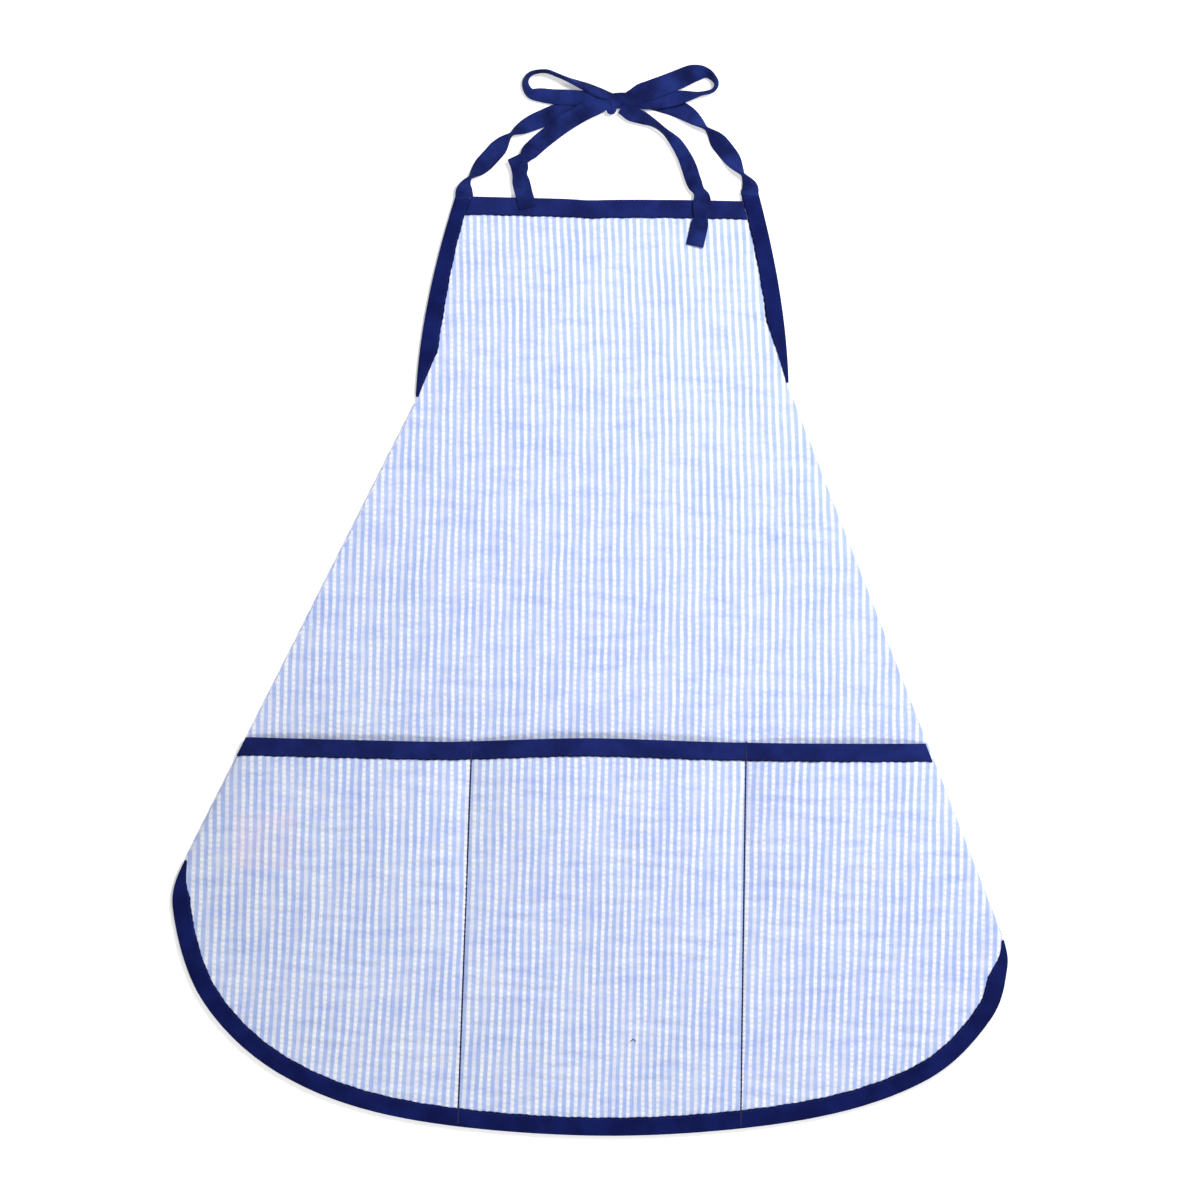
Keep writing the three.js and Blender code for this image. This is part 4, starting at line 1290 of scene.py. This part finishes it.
FRONT_TAPES = ("left_armhole_tape", "right_armhole_tape", "top", "hem")
front_stitches = sew_rows("front_tape_stitches", (*FRONT_TAPES, "mouth"), "apron_front")
for side in ("left", "right"):
    keys = [f"{side}_flap_armhole_tape", f"{side}_side_tape"]
    sew_rows(f"{side}_flap_stitches", keys, f"{side}_flap")

# %% A stray end of thread
stray = np.array([0.0205, 0.0755]) + [(-0.0014, -0.0004), (0.0002, 0.0005), (0.0016, -0.0007)]
stray_level = POCKET_LEVEL + pocket_lift(stray[:, 0], stray[:, 1]) + 0.0007
stray_way = unit(np.array([[1, 0.4, 0], [1, -0.5, 0], [0.3, -1, 0]]))
stitches("stray_thread", placed(stray, stray_level), stray_way, 0.0024, 0.0006, "apron_front")

# %% [markdown]
# Divider seams
# Two long rows part the pocket. Their thread is thicker and their stitches longer. They lie in a hollow
# of the cloth, and over the mouth's and the hem's tape they climb on top of it.

# %% Divider seams
SEAM_STITCH, SEAM_SPACING = (0.0042, 0.0014), 0.0031
ON_TAPE, ON_CLOTH = 0.00095, -0.0001
for side in ("left", "right"):
    at_mouth, at_hem = SEAMS[side]
    height = np.arange(mouth_y(at_mouth) + INSET - 0.001, hem_y(at_hem) + 0.004, -0.0001)
    across = seam_x(side, height)
    on_tape = (height > mouth_y(across) - TAPE) | (height < hem_y(across) + TAPE)
    level = POCKET_LEVEL + pocket_lift(across, height) + np.where(on_tape, ON_TAPE, ON_CLOTH)
    row = even_steps(np.column_stack([across, height, level]), SEAM_SPACING)
    middle = placed(row[:, :2], row[:, 2])
    stitches(f"{side}_divider_stitches", middle, unit(np.gradient(middle, axis=0)), *SEAM_STITCH,
             "apron_front", [f"{side}_divider_seam"])

# %% [markdown]
# Care label
# Behind the left end of the pocket hangs a blank satin label. Only its faint blush shows through the
# cloth. It is a thin ribbon with soft ripples: two grids back to back, joined by a wall round the rim.


# %% Care label
def satin_finish():
    """Pale pink satin: fine floating threads, in clouds of light and dark."""
    recipe = Recipe("label_satin")
    where = recipe.on_cloth()
    float_thread = recipe.wave(recipe.parts(where)[0], 3)
    cloud = recipe.noise(where, 0.25, 3.0)
    tint = recipe.mix(recipe.ramp(cloud, 0.3, 0.7), colour(243, 214, 224), colour(250, 232, 238))
    return recipe.finish(tint, recipe.ramp(cloud, 0.2, 0.8, 0.35, 0.5), float_thread, 0.00003,
                         Specular_IOR_Level=0.5, Sheen_Weight=0.2)


LABEL_ROWS, LABEL_COLUMNS = 56, 60
WAVE = 0.0001
label_low, label_high = (np.array(corner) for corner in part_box("care_label"))
x, y = np.meshgrid(np.linspace(label_low[0], label_high[0], LABEL_COLUMNS),
                   np.linspace(label_high[1], label_low[1], LABEL_ROWS))
wave = WAVE * np.sin(x * 420) * np.sin(y * 260)
levels = (label_high[2] - WAVE, label_low[2] + WAVE)
points = np.concatenate([np.stack([x, y, level + wave], axis=-1).reshape(-1, 3) for level in levels])
label_uv = np.stack([x - label_low[0], y - label_low[1]], axis=-1).reshape(-1, 2) * 1000
number = np.arange(x.size).reshape(x.shape)
rim = np.concatenate([number[0], number[1:, -1], number[-1, -2::-1], number[-2:0:-1, 0]])
after = np.roll(rim, -1)
walls = np.stack([rim, after, after + x.size, rim + x.size], axis=1)
face = lattice(LABEL_ROWS, LABEL_COLUMNS)
faces = facing_out(points, np.concatenate([face, face[:, ::-1] + x.size, walls]))
label = piece("care_label_satin", points, faces, np.tile(label_uv, (2, 1)), satin_finish(), "label",
              "apron_front", ["care_label"])

# %% [markdown]
# The floor
# White paper, far wider than the apron. It glows a little, as a lit table does, so that it stays white
# out to its edges.

# %% Floor
FAR = 20
floor_mesh = bpy.data.meshes.new("floor")
corners = [(-FAR, -FAR, 0), (FAR, -FAR, 0), (FAR, FAR, 0), (-FAR, FAR, 0)]
floor_mesh.from_pydata(corners, [], [(0, 1, 2, 3)])
floor = bpy.data.objects.new("floor", floor_mesh)
bpy.context.collection.objects.link(floor)
paper = Recipe("white_paper")
grain_tint = paper.mix(paper.noise(paper.on_object(), 90.0), (0.93, 0.93, 0.93, 1), (0.97, 0.97, 0.97, 1))
floor_mesh.materials.append(paper.finish(grain_tint, 0.95, Specular_IOR_Level=0.0, Emission_Strength=0.34,
                                         Emission_Color=(1, 1, 1, 1)))

# %% [markdown]
# A flap is as wide as it reaches in from its fold, and the bend takes about three of its own radii
# more.

# %% Width of each flap
for side, (made, area) in flap_cloths.items():
    length = fold_frame(side)[0]
    width = float(flap_reach(side, np.linspace(0, length, 200)).max()) + BEND * 3

# %% [markdown]
# Light
# A soft lamp high on the right, a weaker one low, and a pale sky all round: the shade falls gently
# towards the skirt's lower left, and the small puffs still throw a little shadow.

# %% Lamps and sky
scene = bpy.context.scene
scene.view_settings.view_transform = "Standard"
world = bpy.data.worlds.new("pale_sky")
world.use_nodes = True
background = world.node_tree.nodes["Background"].inputs
background["Color"].default_value = (1.0, 1.0, 1.0, 1.0)
background["Strength"].default_value = 0.34
scene.world = world


def soft_lamp(name, place, target, size, watts):
    """A round lamp that faces its target: tipped from straight down, then turned about the vertical."""
    data = bpy.data.lights.new(name, "AREA")
    data.shape = "DISK"
    data.size = size
    data.energy = watts
    lamp = bpy.data.objects.new(name, data)
    lamp.location = place
    x, y, z = np.array(target) - np.array(place)
    lamp.rotation_euler = (math.atan2(math.hypot(x, y), -z), 0, math.atan2(y, x) - math.pi / 2)
    bpy.context.collection.objects.link(lamp)


soft_lamp("key_lamp", (0.62, 0.8, 1.1), (0.02, 0.12, 0), 0.5, 18)
soft_lamp("low_lamp", (0.4, -0.95, 1.5), (0.02, -0.05, 0), 0.4, 9)
